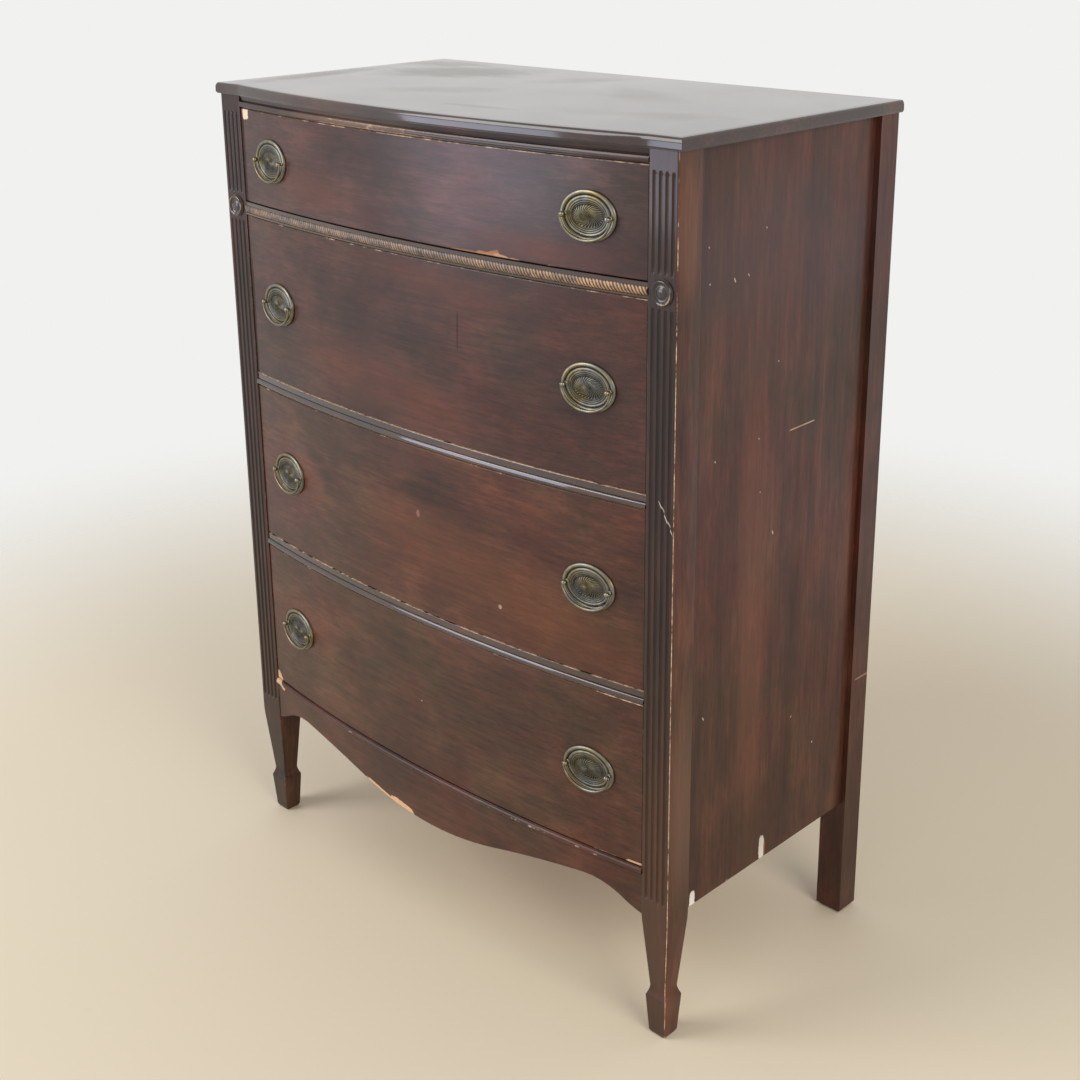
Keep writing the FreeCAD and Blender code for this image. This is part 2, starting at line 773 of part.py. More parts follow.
def rove(x):
    """Square washer inside the drawer that the post's end is riveted over."""
    start = rove_seat + joint_clearance
    washer = square_bar(x, rove_width, start, start + rove_thickness)
    return washer.cut(shank_space(x))


def shank_space(x):
    return square_bar(x, shank_width + 2 * shank_clearance, -plate_height, 2 * front_thickness)


def bail():
    """Swinging handle: the lower half of an oval ring, with a square tip and a pivot at each end."""
    end_x = (pull_boring + ball_size + bail_width) / 2 + bail_gap
    back_y = bail_thickness / 2 - pull_standoff
    front_y = -bail_thickness / 2 - pull_standoff
    wide = bail_width / 2
    narrow = bail_front_width / 2
    outside = oval_step((end_x + wide, bail_drop + wide), back_y,
                        (end_x + narrow, bail_drop + narrow), front_y)
    inside = oval_step((end_x - wide, bail_drop - wide), back_y,
                       (end_x - narrow, bail_drop - narrow), front_y)
    lower_half = box(-plate_width, plate_width, front_y, back_y, -plate_height, 0)
    tip = box(-end_x - wide, -end_x + wide, front_y, back_y, -wide, wide)
    pivot = cylinder(pivot_diameter, V(-end_x, -pull_standoff, 0),
                     V((ball_size - pull_boring) / 2, -pull_standoff, 0))
    ends = [tip, pivot, mirrored(tip), mirrored(pivot)]
    return joined([outside.cut(inside).common(lower_half)] + ends)


post_xs = (-pull_boring / 2, pull_boring / 2)
shank_spaces = [shank_space(x) for x in post_xs]


# ---------------------------------------------------------------- build and write every piece
save("top_board", top_board().cut(screw_spaces))

right_post = front_post()
save("front_post_right", right_post)
save("front_post_left", mirrored(right_post))
right_back_post = back_post()
save("back_post_right", right_back_post)
save("back_post_left", mirrored(right_back_post))
right_panel = side_panel_slab(panel_groove_depth)
save("side_panel_right", right_panel)
save("side_panel_left", mirrored(right_panel))
save("back_panel", back_rebate_slab(back_bay_half + back_rebate - joint_clearance))
save("post_rosettes", [rosette(), mirrored(rosette())])

rail_shapes = {
    "frieze_rail": moulded_rail(*tenoned["frieze_rail"], 0.0),
    "rope_rail": rope_rail_board(*tenoned["rope_rail"]),
    "middle_rail": moulded_rail(*tenoned["middle_rail"], rail_fillet),
    "lower_rail": moulded_rail(*tenoned["lower_rail"], rail_fillet),
    "bottom_rail": bottom_rail(),
}
for name, rail in rail_shapes.items():
    save(name, with_tenons(rail, name).cut(dust_slots + screw_spaces))
save("rope_moulding", rope())
save("apron", apron())

right_runners = [runner(number) for number in (1, 2, 3, 4)]
save("drawer_runners", right_runners + [mirrored(shape) for shape in right_runners])
right_guides = [guide(number) for number in (1, 2, 3, 4)]
save("drawer_guides", right_guides + [mirrored(shape) for shape in right_guides])
save("top_kickers", [kicker(), mirrored(kicker())])
save("back_rails", back_rails())
save("dust_panels", [dust_panel(number) for number in dust_levels])
save("drawer_stops", [stop(number, side * stop_spacing / 2) for number in (1, 2, 3, 4) for side in (-1, 1)])
front_block = corner_block(post_rear_y, corner_block_size)
rear_block = corner_block(back_post_front_y, -corner_block_size)
save("corner_blocks", [front_block, mirrored(front_block), rear_block, mirrored(rear_block)])
save("top_screws", screws)

plate_shape = back_plate()
post_shapes = [pull_post(x) for x in post_xs] + [rove(x) for x in post_xs]
bail_shape = bail()
for number in (1, 2, 3, 4):
    for piece, shape in drawer(number).items():
        save("drawer_%d_%s" % (number, piece), shape)
    plates = []
    bolts = []
    for side, side_name in ((-1, "left"), (1, "right")):
        plates.append(pull_placed(plate_shape, side, number))
        bolts.extend(pull_placed(shape, side, number) for shape in post_shapes)
        save("drawer_%d_bail_%s" % (number, side_name), pull_placed(bail_shape, side, number))
    save("drawer_%d_pull_plates" % number, plates)
    save("drawer_%d_pull_posts" % number, bolts)
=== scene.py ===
from functools import partial
from math import asin, cos, exp, hypot, pi, radians, sin, sqrt

import bmesh
import bpy
from mathutils import Matrix, Vector


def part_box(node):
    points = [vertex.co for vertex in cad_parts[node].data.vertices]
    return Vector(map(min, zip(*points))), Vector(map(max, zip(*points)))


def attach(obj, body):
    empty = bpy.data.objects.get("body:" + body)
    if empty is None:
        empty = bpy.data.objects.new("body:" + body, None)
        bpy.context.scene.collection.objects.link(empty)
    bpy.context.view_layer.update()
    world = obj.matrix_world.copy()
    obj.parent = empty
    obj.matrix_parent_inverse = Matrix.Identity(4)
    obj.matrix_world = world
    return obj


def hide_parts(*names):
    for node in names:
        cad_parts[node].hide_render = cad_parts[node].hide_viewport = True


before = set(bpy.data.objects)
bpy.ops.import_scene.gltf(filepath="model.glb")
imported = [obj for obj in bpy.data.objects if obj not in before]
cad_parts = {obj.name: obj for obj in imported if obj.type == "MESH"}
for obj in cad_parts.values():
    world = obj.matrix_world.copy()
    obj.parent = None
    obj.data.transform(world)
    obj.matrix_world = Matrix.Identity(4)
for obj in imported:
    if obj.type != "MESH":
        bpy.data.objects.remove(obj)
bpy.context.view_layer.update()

# Bow front chest of four drawers: mahogany veneer on hardwood, with brass pulls.
# Metres, +Z up, the front faces -Y. Lengths that are easier to read in millimetres are written
# as a number times mm.
mm = 0.001


# -------------------- camera, floor and light
# A camera on a stand a little above the chest, half to its right. The floor is a plain pale sheet
# that fades into the white of the room; two wide soft lamps stand on either side, and a window is
# low on the left.
def linear(hex_colour):
    """An sRGB colour such as "#8a5a34" as the linear RGBA that shaders take."""
    channels = [int(hex_colour[i:i + 2], 16) / 255 for i in (1, 3, 5)]
    return [c / 12.92 if c <= 0.04045 else ((c + 0.055) / 1.055) ** 2.4 for c in channels] + [1.0]


def add_node(tree, kind, inputs=None, stops=None, **settings):
    """Add a node: settings, ramp stops, and inputs; a node as an input stands for its first output."""
    node = tree.nodes.new("ShaderNode" + kind)
    for name, value in settings.items():
        setattr(node, name, value)
    for name, value in (inputs or {}).items():
        if isinstance(value, bpy.types.Node):
            value = next(out for out in value.outputs if out.enabled)
        if isinstance(value, bpy.types.NodeSocket):
            tree.links.new(value, node.inputs[name])
        else:
            node.inputs[name].default_value = value
    if stops:
        ramp = node.color_ramp.elements
        while len(ramp) < len(stops):
            ramp.new(0.5)
        for element, (position, colour) in zip(ramp, stops):
            element.position = position
            element.color = linear(colour) if isinstance(colour, str) else (colour, colour, colour, 1)
    return node


def new_material(name):
    """An empty node material, and the function that adds a node to it."""
    material = bpy.data.materials.new(name)
    material.use_nodes = True
    material.node_tree.nodes.clear()
    return material, partial(add_node, material.node_tree)


def put(name, data):
    """An object in the scene, at the origin."""
    made = bpy.data.objects.new(name, data)
    bpy.context.scene.collection.objects.link(made)
    return made


camera_place = (1.5258, -1.5330, 1.4176)
swung, tipped, rolled = (radians(a) for a in (44.56, 17.90, -0.63))
camera = put("camera", bpy.data.cameras.new("camera"))
camera.data.lens = 53.72
camera.data.sensor_width = 36.0
camera.data.shift_y = -0.1166
aim = Matrix.Rotation(swung, 4, "Z") @ Matrix.Rotation(pi / 2 - tipped, 4, "X")
camera.matrix_world = Matrix.Translation(camera_place) @ aim @ Matrix.Rotation(rolled, 4, "Z")
bpy.context.scene.camera = camera

floor_reach = 6.0
floor_mesh = bpy.data.meshes.new("floor")
corners = [(x * floor_reach, y * floor_reach, 0) for x, y in ((-1, -1), (1, -1), (1, 1), (-1, 1))]
floor_mesh.from_pydata(corners, [], [(0, 1, 2, 3)])
floor = put("floor", floor_mesh)

# Matt painted floor, pale straw, with no pattern; it clears away from the chest, so no line shows
paint_clears = (0.9, 2.3)
floor_material, add = new_material("matt_floor_paint")
place = add("TexCoord").outputs["Object"]
distance = add("VectorMath", {0: place}, operation="LENGTH")
fade = add("MapRange", {"Value": distance, "From Min": paint_clears[0], "From Max": paint_clears[1]},
    interpolation_type="SMOOTHSTEP")
paint = add("BsdfPrincipled", {"Base Color": linear("#e6d8be"), "Roughness": 0.6})
mixed = add("MixShader", {"Fac": fade, 1: paint, 2: add("BsdfTransparent")})
add("OutputMaterial", {"Surface": mixed})
floor_mesh.materials.append(floor_material)

world = bpy.data.worlds.new("room")
bpy.context.scene.world = world
world.use_nodes = True
world.node_tree.nodes.clear()
add = partial(add_node, world.node_tree)
ray = add("LightPath").outputs
seen = add("Math", {0: ray["Is Camera Ray"], 1: ray["Is Glossy Ray"]}, operation="MAXIMUM")
seen = add("Math", {0: seen, 1: ray["Is Transmission Ray"]}, operation="MAXIMUM")
soft_light = add("Background", {"Color": linear("#f6f7fb"), "Strength": 0.57})
pale_wall = add("Background", {"Color": linear("#f1f1ef"), "Strength": 1.0})
mixed = add("MixShader", {"Fac": seen, 1: soft_light, 2: pale_wall})
add("OutputWorld", {"Surface": mixed})

lamp_aim = Vector((0.0, 0.0, 0.7))
# name, place, watts, width and height, colour
lamps = [("soft_lamp", (-2.3, -3.5, 3.0), 102.0, 2.4, 2.4, "#ffffff"),
         ("fill_lamp", (3.6, -0.9, 2.4), 66.0, 2.0, 2.0, "#fffaf2"),
         ("window", (-1.75, -2.65, 0.86), 17.0, 1.25, 0.92, "#dbe5ff")]
for name, place, watts, width, height, tint in lamps:
    lamp = put(name, bpy.data.lights.new(name, "AREA"))
    lamp.data.shape = "RECTANGLE"
    lamp.data.energy = watts
    lamp.data.size = width
    lamp.data.size_y = height
    lamp.data.color = linear(tint)[:3]
    lamp.location = place
    lamp.rotation_mode = "QUATERNION"
    lamp.rotation_quaternion = (lamp_aim - lamp.location).to_track_quat("-Z", "Y")

bpy.context.scene.view_settings.view_transform = "Standard"


# -------------------- top board
# Solid board with a bowed front edge, veneered and finished in gloss varnish. Its upper arris is
# eased, a small step runs round its lower one, and screws hold it down from below.
def mahogany(name, grain, shades, coat, marks=(), flecks=0.0, coat_ior=1.5):
    """Mahogany veneer or solid, stained dark red brown under varnish, with years of wear.

    The grain runs along axis 0, 1 or 2: blotches about 110 mm across, or bands of 50 mm, a mottle of
    30 mm, streaks 5 mm wide, and short pores, drawn three times their real width so that they show.
    Where an edge is marked as rubbed, stain and varnish are gone and pale wood shows. A mark is
    (colour, strength, softness, place, turn, half sizes) in millimetres and radians: a hard one, of
    softness under 0.2, is drawn as a chip down to the wood, and so are thin dark strips of painted
    shade in gaps; soft ones are stains and dull varnish, and a few are patches of painted sheen and
    painted light.
    """
    material, add = new_material(name)
    place = add("TexCoord").outputs["Object"]

    def streaked(per_metre, stretch, detail, distortion=0.0):
        scale = [per_metre] * 3
        scale[grain] = per_metre / stretch
        stretched = add("Mapping", {"Vector": place, "Scale": scale})
        return add("TexNoise", {"Vector": stretched, "Scale": 1.0, "Detail": detail, "Roughness": 0.6,
            "Distortion": distortion})

    # on upright boards the blotches run together into bands
    blotches = streaked(*((20.0, 7.0) if grain == 2 else (9.0, 1.4)), 4.0, 0.4)
    mottle = streaked(34.0, 2.2, 6.0, 0.3)
    streaks = streaked(190.0, 16.0, 4.0)
    pores = streaked(700.0, 14.0, 2.0)
    tone = add("Mix", {"Factor": 0.3, "A": blotches, "B": mottle}, data_type="FLOAT")
    tone = add("Mix", {"Factor": 0.3, "A": tone, "B": streaks}, data_type="FLOAT")
    colour = add("ValToRGB", {"Fac": tone}, stops=[(0.36, shades[0]), (0.50, shades[1]),
        (0.66, shades[2])])
    # old finish turns redder in some places and greener in others
    aged = add("ValToRGB", {"Fac": streaked(6.5, 1.2, 4.0, 0.5)}, stops=[(0.38, "#e9fdee"),
        (0.5, "#ffffff"), (0.62, "#ffe6e0")])
    colour = add("Mix", {"Factor": 1.0, "A": colour, "B": aged}, data_type="RGBA",
        blend_type="MULTIPLY")
    pore_dark = add("ValToRGB", {"Fac": pores}, stops=[(0.34, 0.68), (0.48, 1.0)])
    colour = add("Mix", {"Factor": 1.0, "A": colour, "B": pore_dark}, data_type="RGBA",
        blend_type="MULTIPLY")

    rubbed = add("Attribute", attribute_name="rub").outputs["Fac"]
    patchy = add("TexNoise", {"Vector": place, "Scale": 48.0, "Detail": 6.0, "Roughness": 0.65})
    patchy = add("MapRange", {"Value": patchy, "To Min": -0.9, "To Max": 0.9})
    rubbed = add("Math", {0: rubbed, 1: patchy}, operation="ADD")
    worn = add("MapRange", {"Value": rubbed, "From Min": 0.9, "From Max": 1.1})
    chipped = add("TexNoise", {"Vector": place, "Scale": 230.0, "Detail": 4.0})
    if flecks > 0.0:
        cells = add("TexVoronoi", {"Vector": place, "Scale": 34.0})
        lucky = add("SeparateColor", {"Color": cells.outputs["Color"]}).outputs["Red"]
        size = add("MapRange", {"Value": lucky, "From Min": 1.0 - flecks, "From Max": 1.0,
            "To Max": 0.07})
        inside = add("Math", {0: cells.outputs["Distance"], 1: size}, operation="LESS_THAN")
        worn = add("Math", {0: worn, 1: inside}, operation="MAXIMUM")
    bare_wood = add("ValToRGB", {"Fac": chipped}, stops=[(0.35, "#ad8a6f"), (0.65, "#e0c5a9")])
    colour = add("Mix", {"Factor": worn, "A": colour, "B": bare_wood}, data_type="RGBA")

    dulled = 0.0
    for tint, strength, softness, spot, turn, reach in marks:
        hard = softness < 0.2
        local = add("Mapping", {"Vector": place, "Location": [v * mm for v in spot], "Rotation": turn,
            "Scale": [v * mm for v in reach]}, vector_type="TEXTURE")
        # chips are nearly square, stains and dull patches are oval
        if hard:
            local = add("VectorMath", {0: local, 1: local}, operation="MULTIPLY")
        away = add("VectorMath", {0: local, 1: local}, operation="DOT_PRODUCT")
        away = add("Math", {0: away, 1: 0.25 if hard else 0.5}, operation="POWER")
        rough = 0.12 if hard else 0.25
        edge = chipped if hard else mottle
        ragged = add("MapRange", {"Value": edge, "From Min": 0.3, "From Max": 0.7, "To Min": -rough,
            "To Max": rough}, clamp=False)
        away = add("Math", {0: away, 1: ragged}, operation="ADD")
        inside = add("MapRange", {"Value": away, "From Min": 1.0 + softness, "From Max": 1.0 - softness,
            "To Max": strength}, interpolation_type="SMOOTHSTEP")
        colour = add("Mix", {"Factor": inside, "A": colour, "B": linear(tint)}, data_type="RGBA")
        if hard:
            worn = add("Math", {0: worn, 1: inside}, operation="MAXIMUM")
        else:
            dulled = add("Math", {0: dulled, 1: inside}, operation="MAXIMUM")

    haze = add("TexNoise", {"Vector": place, "Scale": 9.0, "Detail": 5.0})
    dull = add("MapRange", {"Value": haze, "From Min": 0.3, "From Max": 0.7, "To Min": 0.36,
        "To Max": 0.52})
    relief = add("Math", {0: worn, 1: -6.0}, operation="MULTIPLY")
    relief = add("Math", {0: relief, 1: pores}, operation="ADD")
    bump = add("Bump", {"Height": relief, "Strength": 0.25, "Distance": 0.06 * mm})
    lost = add("Math", {0: dulled, 1: 0.8, 2: worn}, operation="MULTIPLY_ADD", use_clamp=True)
    varnish = add("MapRange", {"Value": lost, "To Min": coat[0], "To Max": 0.1 * coat[0]})
    wood = add("BsdfPrincipled", {"Base Color": colour, "Roughness": dull, "Normal": bump,
        "Specular IOR Level": 0.2, "Coat Weight": varnish, "Coat Roughness": coat[1],
        "Coat IOR": coat_ior})
    add("OutputMaterial", {"Surface": wood})
    return material


def rub(made, values):
    """Store how much each point of a piece is rubbed, for its finish to use."""
    layer = made.data.attributes.new("rub", "FLOAT", "POINT")
    layer.data.foreach_set("value", values)


def piece(node, points, faces, body, slot, *materials, smooth=35.0):
    """A mesh that replaces a CAD node: finished, smooth up to an angle, riding on its body."""
    mesh = bpy.data.meshes.new(node + "_dressed")
    mesh.from_pydata([tuple(p) for p in points], [], faces)
    shape = bmesh.new()
    shape.from_mesh(mesh)
    bmesh.ops.remove_doubles(shape, verts=shape.verts, dist=1e-6)
    bmesh.ops.recalc_face_normals(shape, faces=shape.faces)
    shape.to_mesh(mesh)
    shape.free()
    mesh.shade_smooth()
    mesh.set_sharp_from_angle(angle=radians(smooth))
    for material in materials:
        mesh.materials.append(material)
    made = put(node + "_dressed", mesh)
    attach(made, body)
    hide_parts(node)
    return made


def loft(rings):
    """Points and faces of a closed skin over rings with the same number of points."""
    count = len(rings[0])
    points = [p for ring in rings for p in ring]
    faces = []
    for level in range(len(rings) - 1):
        start = level * count
        for i in range(count):
            j = (i + 1) % count
            faces.append((start + i, start + j, start + count + j, start + count + i))
    faces.append(tuple(range(count)))
    faces.append(tuple(range(len(points) - count, len(points))))
    return points, faces


def steps(start, end, count):
    """Evenly spaced numbers, both ends included."""
    return [start + (end - start) * i / count for i in range(count + 1)]


post_low, post_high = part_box("front_post_right")
bay_half = post_low.x                   # half the width between the front posts
top_low, top_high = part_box("top_board")
top_bow = 37 * mm
top_end_y = top_low.y + top_bow
top_curve = (bay_half ** 2 + top_bow ** 2) / (2 * top_bow)
easing = (4.2 * mm, 7.5 * mm)           # how far the rounded upper arris reaches in and down
step_depth = 1.3 * mm
step_z = top_low.z + step_depth
flat_start = 14 * mm
# inset, height and rub of each line round the edge, from the step under it to the flat on top
levels = [(step_depth + 0.2 * mm, top_low.z, 0.3), (step_depth, top_low.z + 0.3 * mm, 0.6),
          (step_depth, step_z - 0.3 * mm, 0.2), (0.9 * mm, step_z, 0.3),
          (0.25 * mm, step_z + 0.3 * mm, 0.55), (0.0, step_z + 0.8 * mm, 0.2),
          (0.0, step_z + 1.8 * mm, 0.0)]
for turn in steps(pi / 20, pi / 2, 9):
    levels.append((easing[0] * (1 - cos(turn)), top_high.z - easing[1] * (1 - sin(turn)),
                   0.6 * sin(2 * turn) ** 4))
levels.append((flat_start, top_high.z, 0.0))
rings = []
worn = []
for inset, z, worn_here in levels:
    half = top_high.x - inset
    ring = [(x, top_end_y + inset - (sqrt(top_curve ** 2 - x * x) - top_curve + top_bow), z)
            for x in steps(-bay_half, bay_half, 72)]
    front_y = top_end_y + inset
    ring += [(half, front_y, z), (half, top_high.y, z), (-half, top_high.y, z), (-half, front_y, z)]
    rings.append(ring)
    worn += [worn_here] * len(ring)
# strength, softness, x, y, turn and half sizes of the patches where the varnish has gone dull
top_marks = [("#6f594c", strength, softness, (x, y, 1168), (0, 0, turn), (wide, deep, 9))
             for strength, softness, x, y, turn, wide, deep in (
                 (0.55, 0.6, -255, 112, 0.5, 100, 60), (0.4, 0.7, -350, 180, 0.3, 65, 32),
                 (0.45, 0.6, -390, -40, 0.05, 22, 110), (0.25, 0.8, -110, -60, 0.6, 70, 30),
                 (0.22, 0.8, 150, 60, -0.5, 80, 34), (0.25, 0.6, 60, -150, 0.1, 50, 9),
                 (0.22, 0.8, -30, 150, 0.9, 60, 26), (0.2, 0.8, 290, -70, 0.3, 75, 24))]
gloss_mahogany = mahogany("gloss_varnished_mahogany", 0, ("#1a0d0a", "#321a12", "#553020"), (1.0, 0.08),
                          marks=top_marks, flecks=0.02)
rub(piece("top_board", *loft(rings), "case", "mahogany_top", gloss_mahogany), worn)


# -------------------- front posts
# Each post and its leg are one length of solid mahogany: four hollow flutes with scooped ends worked
# into the face, a leg tapered on all four sides, a neck, and a spade foot. Edges are rubbed pale.
flat = (0, 0, 0)
# a pale nick on the front arris, a paler patch high on the side, one low on the side of the leg, and
# one over the foot that is partly wear and partly painted light from the pale floor
post_marks = [("#e6d6c6", 0.7, 0.12, (409, -194, 729), (0, 1.05, 0), (22, 4, 0.7)),
              ("#7f5b48", 0.35, 0.6, (422, -176, 1070), flat, (9, 16, 75)),
              ("#8a6a55", 0.3, 0.9, (422, -173, 330), flat, (10, 30, 110)),
              ("#6b4c3a", 0.2, 0.6, (400, -173, 40), flat, (40, 40, 60))]
post_mahogany = mahogany("satin_mahogany_post", 2, ("#331a13", "#502d20", "#6f432e"), (0.3, 0.24),
                         marks=post_marks)
# the fluted faces get darker shades than the sides, painted shade for the hollows of the flutes; they
# and the rosettes keep more of their polish
face_marks = post_marks[:1] + [("#6d4a35", 0.35, 0.8, (400, -194, 190), flat, (40, 20, 190))]
face_mahogany_painted_shade = mahogany("dark_polished_mahogany", 2, ("#1c0f0b", "#301a13", "#4a2b20"), (0.45, 0.1),
                         marks=face_marks)
flute_bottom = 205 * mm
flute_gap = 3 * mm                      # between the rosette and the flutes
flute_top_gap = 23 * mm
flute_pitch = 9.3 * mm
flute_half = 2.5 * mm
flute_deep = 2.0 * mm
flute_radius = (flute_half ** 2 + flute_deep ** 2) / (2 * flute_deep)
rosette_low, rosette_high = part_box("post_rosettes")
rosette_z = (rosette_low.z + rosette_high.z) / 2
rosette_reach = (rosette_high.z - rosette_low.z) / 2
flute_runs = [(flute_bottom, rosette_z - rosette_reach - flute_gap),
              (rosette_z + rosette_reach + flute_gap, post_high.z - flute_top_gap)]
scoop = 6.5 * mm                        # length over which a flute runs out
post_x = (post_low.x + post_high.x) / 2
post_y = (post_low.y + post_high.y) / 2


def flute_depth(across, z):
    """Depth of the hollow at a distance from a flute's middle line, ended like the bowl of a spoon."""
    for z0, z1 in flute_runs:
        if z0 < z < z1:
            to_end = flute_half * max(0.0, 1 - min(z - z0, z1 - z) / scoop)
            inside = flute_radius ** 2 - across ** 2 - to_end ** 2
            return max(0.0, sqrt(max(0.0, inside)) - flute_radius + flute_deep)
    return 0.0


def leg_half(z, half):
    """Half the post's thickness at a height, for a side that is 2 * half wide at the top."""
    taper_start, taper_ease, neck_z, spade_z, toe_z = [v * mm for v in (188, 23, 72, 58, 4)]
    neck, spade, foot, toe = [v * mm for v in (12.5, 16.7, 13.2, 2.2)]
    slope = (half - neck) / (taper_start - taper_ease / 2 - neck_z)
    if z >= taper_start:
        return half
    if z > taper_start - taper_ease:
        return half - slope * (taper_start - z) ** 2 / (2 * taper_ease)
    if z > neck_z:
        return neck + slope * (z - neck_z)
    if z > spade_z:
        return neck + (spade - neck) * ((neck_z - z) / (neck_z - spade_z)) ** 1.6
    if z > toe_z:
        return foot + (spade - foot) * (z - toe_z) / (spade_z - toe_z)
    return foot - toe * (1 - z / toe_z)


flute_shares = (-1.3, -1.0, -0.85, -0.6, -0.3, 0.0, 0.3, 0.6, 0.85, 1.0)
face_columns = [(flute - 1.5) * flute_pitch + share * flute_half
                for flute in range(4) for share in flute_shares]
face_columns.append(1.5 * flute_pitch + 1.3 * flute_half)
# heights of the rings up a post, closer together where its shape turns
post_levels = [0.0, 4 * mm] + steps(6 * mm, 56 * mm, 5) + steps(57 * mm, 73 * mm, 12)
post_levels += steps(80 * mm, 160 * mm, 8) + steps(165 * mm, 189 * mm, 10)
scoop_shares = (-0.08, 0.0, 0.03, 0.08, 0.16, 0.28, 0.42, 0.6, 0.8, 1.0)
for z0, z1 in flute_runs:
    post_levels += [z0 + scoop * share for share in scoop_shares]
    post_levels += steps(z0 + 9 * mm, z1 - 9 * mm, 8)
    post_levels += [z1 - scoop * share for share in reversed(scoop_shares)]
post_levels.append(post_high.z)
arris = 1.5 * mm
inner_arris = 0.4 * mm                  # beside the rails, where nothing rubs it


def post_ring(side, z):
    """Outline of a front post at a height; side is 1 for the right post and -1 for the left one."""
    wide = leg_half(z, post_high.x - post_x)
    deep = leg_half(z, post_high.y - post_y)
    shrink = (wide - arris) / (post_high.x - post_x - arris)
    outline = []
    for a in face_columns:
        across = a - (round(a / flute_pitch - 0.5) + 0.5) * flute_pitch
        outline.append((a * shrink, -deep + flute_depth(across, z)))
    for corner_x, corner_y, start, eased in ((1, -1, -90, arris), (1, 1, 0, arris), (-1, 1, 90, arris),
                                             (-1, -1, 180, inner_arris)):
        for turn in (start, start + 30, start + 60, start + 90):
            outline.append((corner_x * (wide - eased) + eased * cos(radians(turn)),
                            corner_y * (deep - eased) + eased * sin(radians(turn))))
    return [(side * (post_x + a), post_y + b, z) for a, b in outline]


def arris_wear(side, z):
    """Rub along the four arrises at a height: the front right one most, from knees passing by."""
    outer_front = (1.12 if z < 905 * mm else 0.93) if side > 0 else 0.9
    shares = []
    for most in (outer_front, 0.7, 0.5, 0.82):
        shares += [0.0, most, most, 0.0]
    return [0.0] * len(face_columns) + shares


face_reach = 3 * mm                     # deeper than the flutes, short of the arrises
for side, name in ((1, "right"), (-1, "left")):
    post = piece("front_post_" + name, *loft([post_ring(side, z) for z in post_levels]), "case",
                 "mahogany", post_mahogany, face_mahogany_painted_shade)
    # front faces between the arrises take the darker finish: painted shade on the fluted face
    for face in post.data.polygons:
        wide = leg_half(face.center.z, post_high.x - post_x)
        deep = leg_half(face.center.z, post_high.y - post_y)
        in_front = face.center.y < post_y - deep + face_reach
        if in_front and abs(face.center.x - side * post_x) < wide - arris:
            face.material_index = 1
    rub(post, [share for z in post_levels for share in arris_wear(side, z)])


# -------------------- rosettes
# Turned mahogany bosses glued on the posts level with the rope moulding: a raised ring round a
# hollow, with a low dome in the middle.
def turned(profile, centre, sides, turn=0.0):
    """Rings of a piece turned on an axis along -Y: profile is (radius, height off the wood) in mm."""
    rings = []
    for radius, height in profile:
        ring = []
        for i in range(sides):
            angle = 2 * pi * i / sides
            local = Vector((radius * mm * cos(angle), -height * mm, radius * mm * sin(angle)))
            local.rotate(Matrix.Rotation(turn, 3, "Z"))
            ring.append(Vector(centre) + local)
        rings.append(ring)
    return rings


def joined(*parts):
    """Points and faces of several skins as one."""
    points = []
    faces = []
    for more_points, more_faces in parts:
        faces += [tuple(i + len(points) for i in face) for face in more_faces]
        points += more_points
    return points, faces


rosette_profile = [(15.8, 0.0), (16.0, 0.4), (15.9, 1.0), (15.3, 1.5), (14.9, 2.0), (14.9, 2.9),
                   (14.3, 3.8), (13.3, 4.2), (12.2, 3.9), (11.3, 3.1), (10.5, 2.2), (9.4, 1.6),
                   (8.2, 1.5), (7.2, 1.8), (6.4, 2.4), (5.0, 3.0), (3.2, 3.3), (1.2, 3.4), (0.2, 3.4)]
rosette_sides = 48
rosette_skins = [loft(turned(rosette_profile, (side * post_x, post_low.y, rosette_z), rosette_sides))
                 for side in (1, -1)]
rosette_mahogany = mahogany("dark_polished_mahogany_rosette", 2, ("#1a0e0b", "#2b1812", "#44281e"),
                            (1.0, 0.07))
rosettes = piece("post_rosettes", *joined(*rosette_skins), "case", "mahogany", rosette_mahogany)
# the crest of the raised ring is marked as rubbed, so pale wood shows round it: partly wear, partly a
# painted highlight on the ring
rosette_rub_and_highlight = [0.85 if 13.0 < radius < 14.5 else 0.3 for radius, height in rosette_profile
               for i in range(rosette_sides)]
rub(rosettes, 2 * rosette_rub_and_highlight)


# -------------------- back posts, side panels and back
# Square mahogany back posts; thin veneered side panels let into grooves in the posts, grain
# upright; a thin back panel in a rebate.
side_marks = [("#fff6ea", 1.0, 0.05, (414, 10, 196), flat, (6, 5.6, 17.5)),
              ("#fff6ea", 1.0, 0.05, (414, -136, 187), flat, (6, 5.2, 12.5)),
              ("#b8763f", 0.8, 0.1, (414, 16.5, 192), flat, (6, 1.7, 12)),
              ("#c9a486", 0.6, 0.12, (422, 221, 375), flat, (4, 16, 0.9)),
              ("#d9b998", 0.7, 0.1, (414, 65, 779.5), (0.02, 0, 0), (3, 27, 0.8)),
              # a grey patch high on the side panel is painted sheen: the pale room reflected in its
              # varnish
              ("#54484a", 0.4, 0.8, (414, 20, 1020), flat, (20, 170, 90)),
              ("#7c4e3c", 0.25, 0.9, (414, -30, 560), flat, (20, 22, 260)),
              ("#2c1a14", 0.4, 0.9, (414, 60, 480), flat, (20, 12, 330)),
              ("#2c1a14", 0.45, 0.8, (414, -20, 225), flat, (20, 120, 55)),
              ("#2c1a14", 0.45, 0.8, (412, 215, 150), flat, (30, 40, 160))]
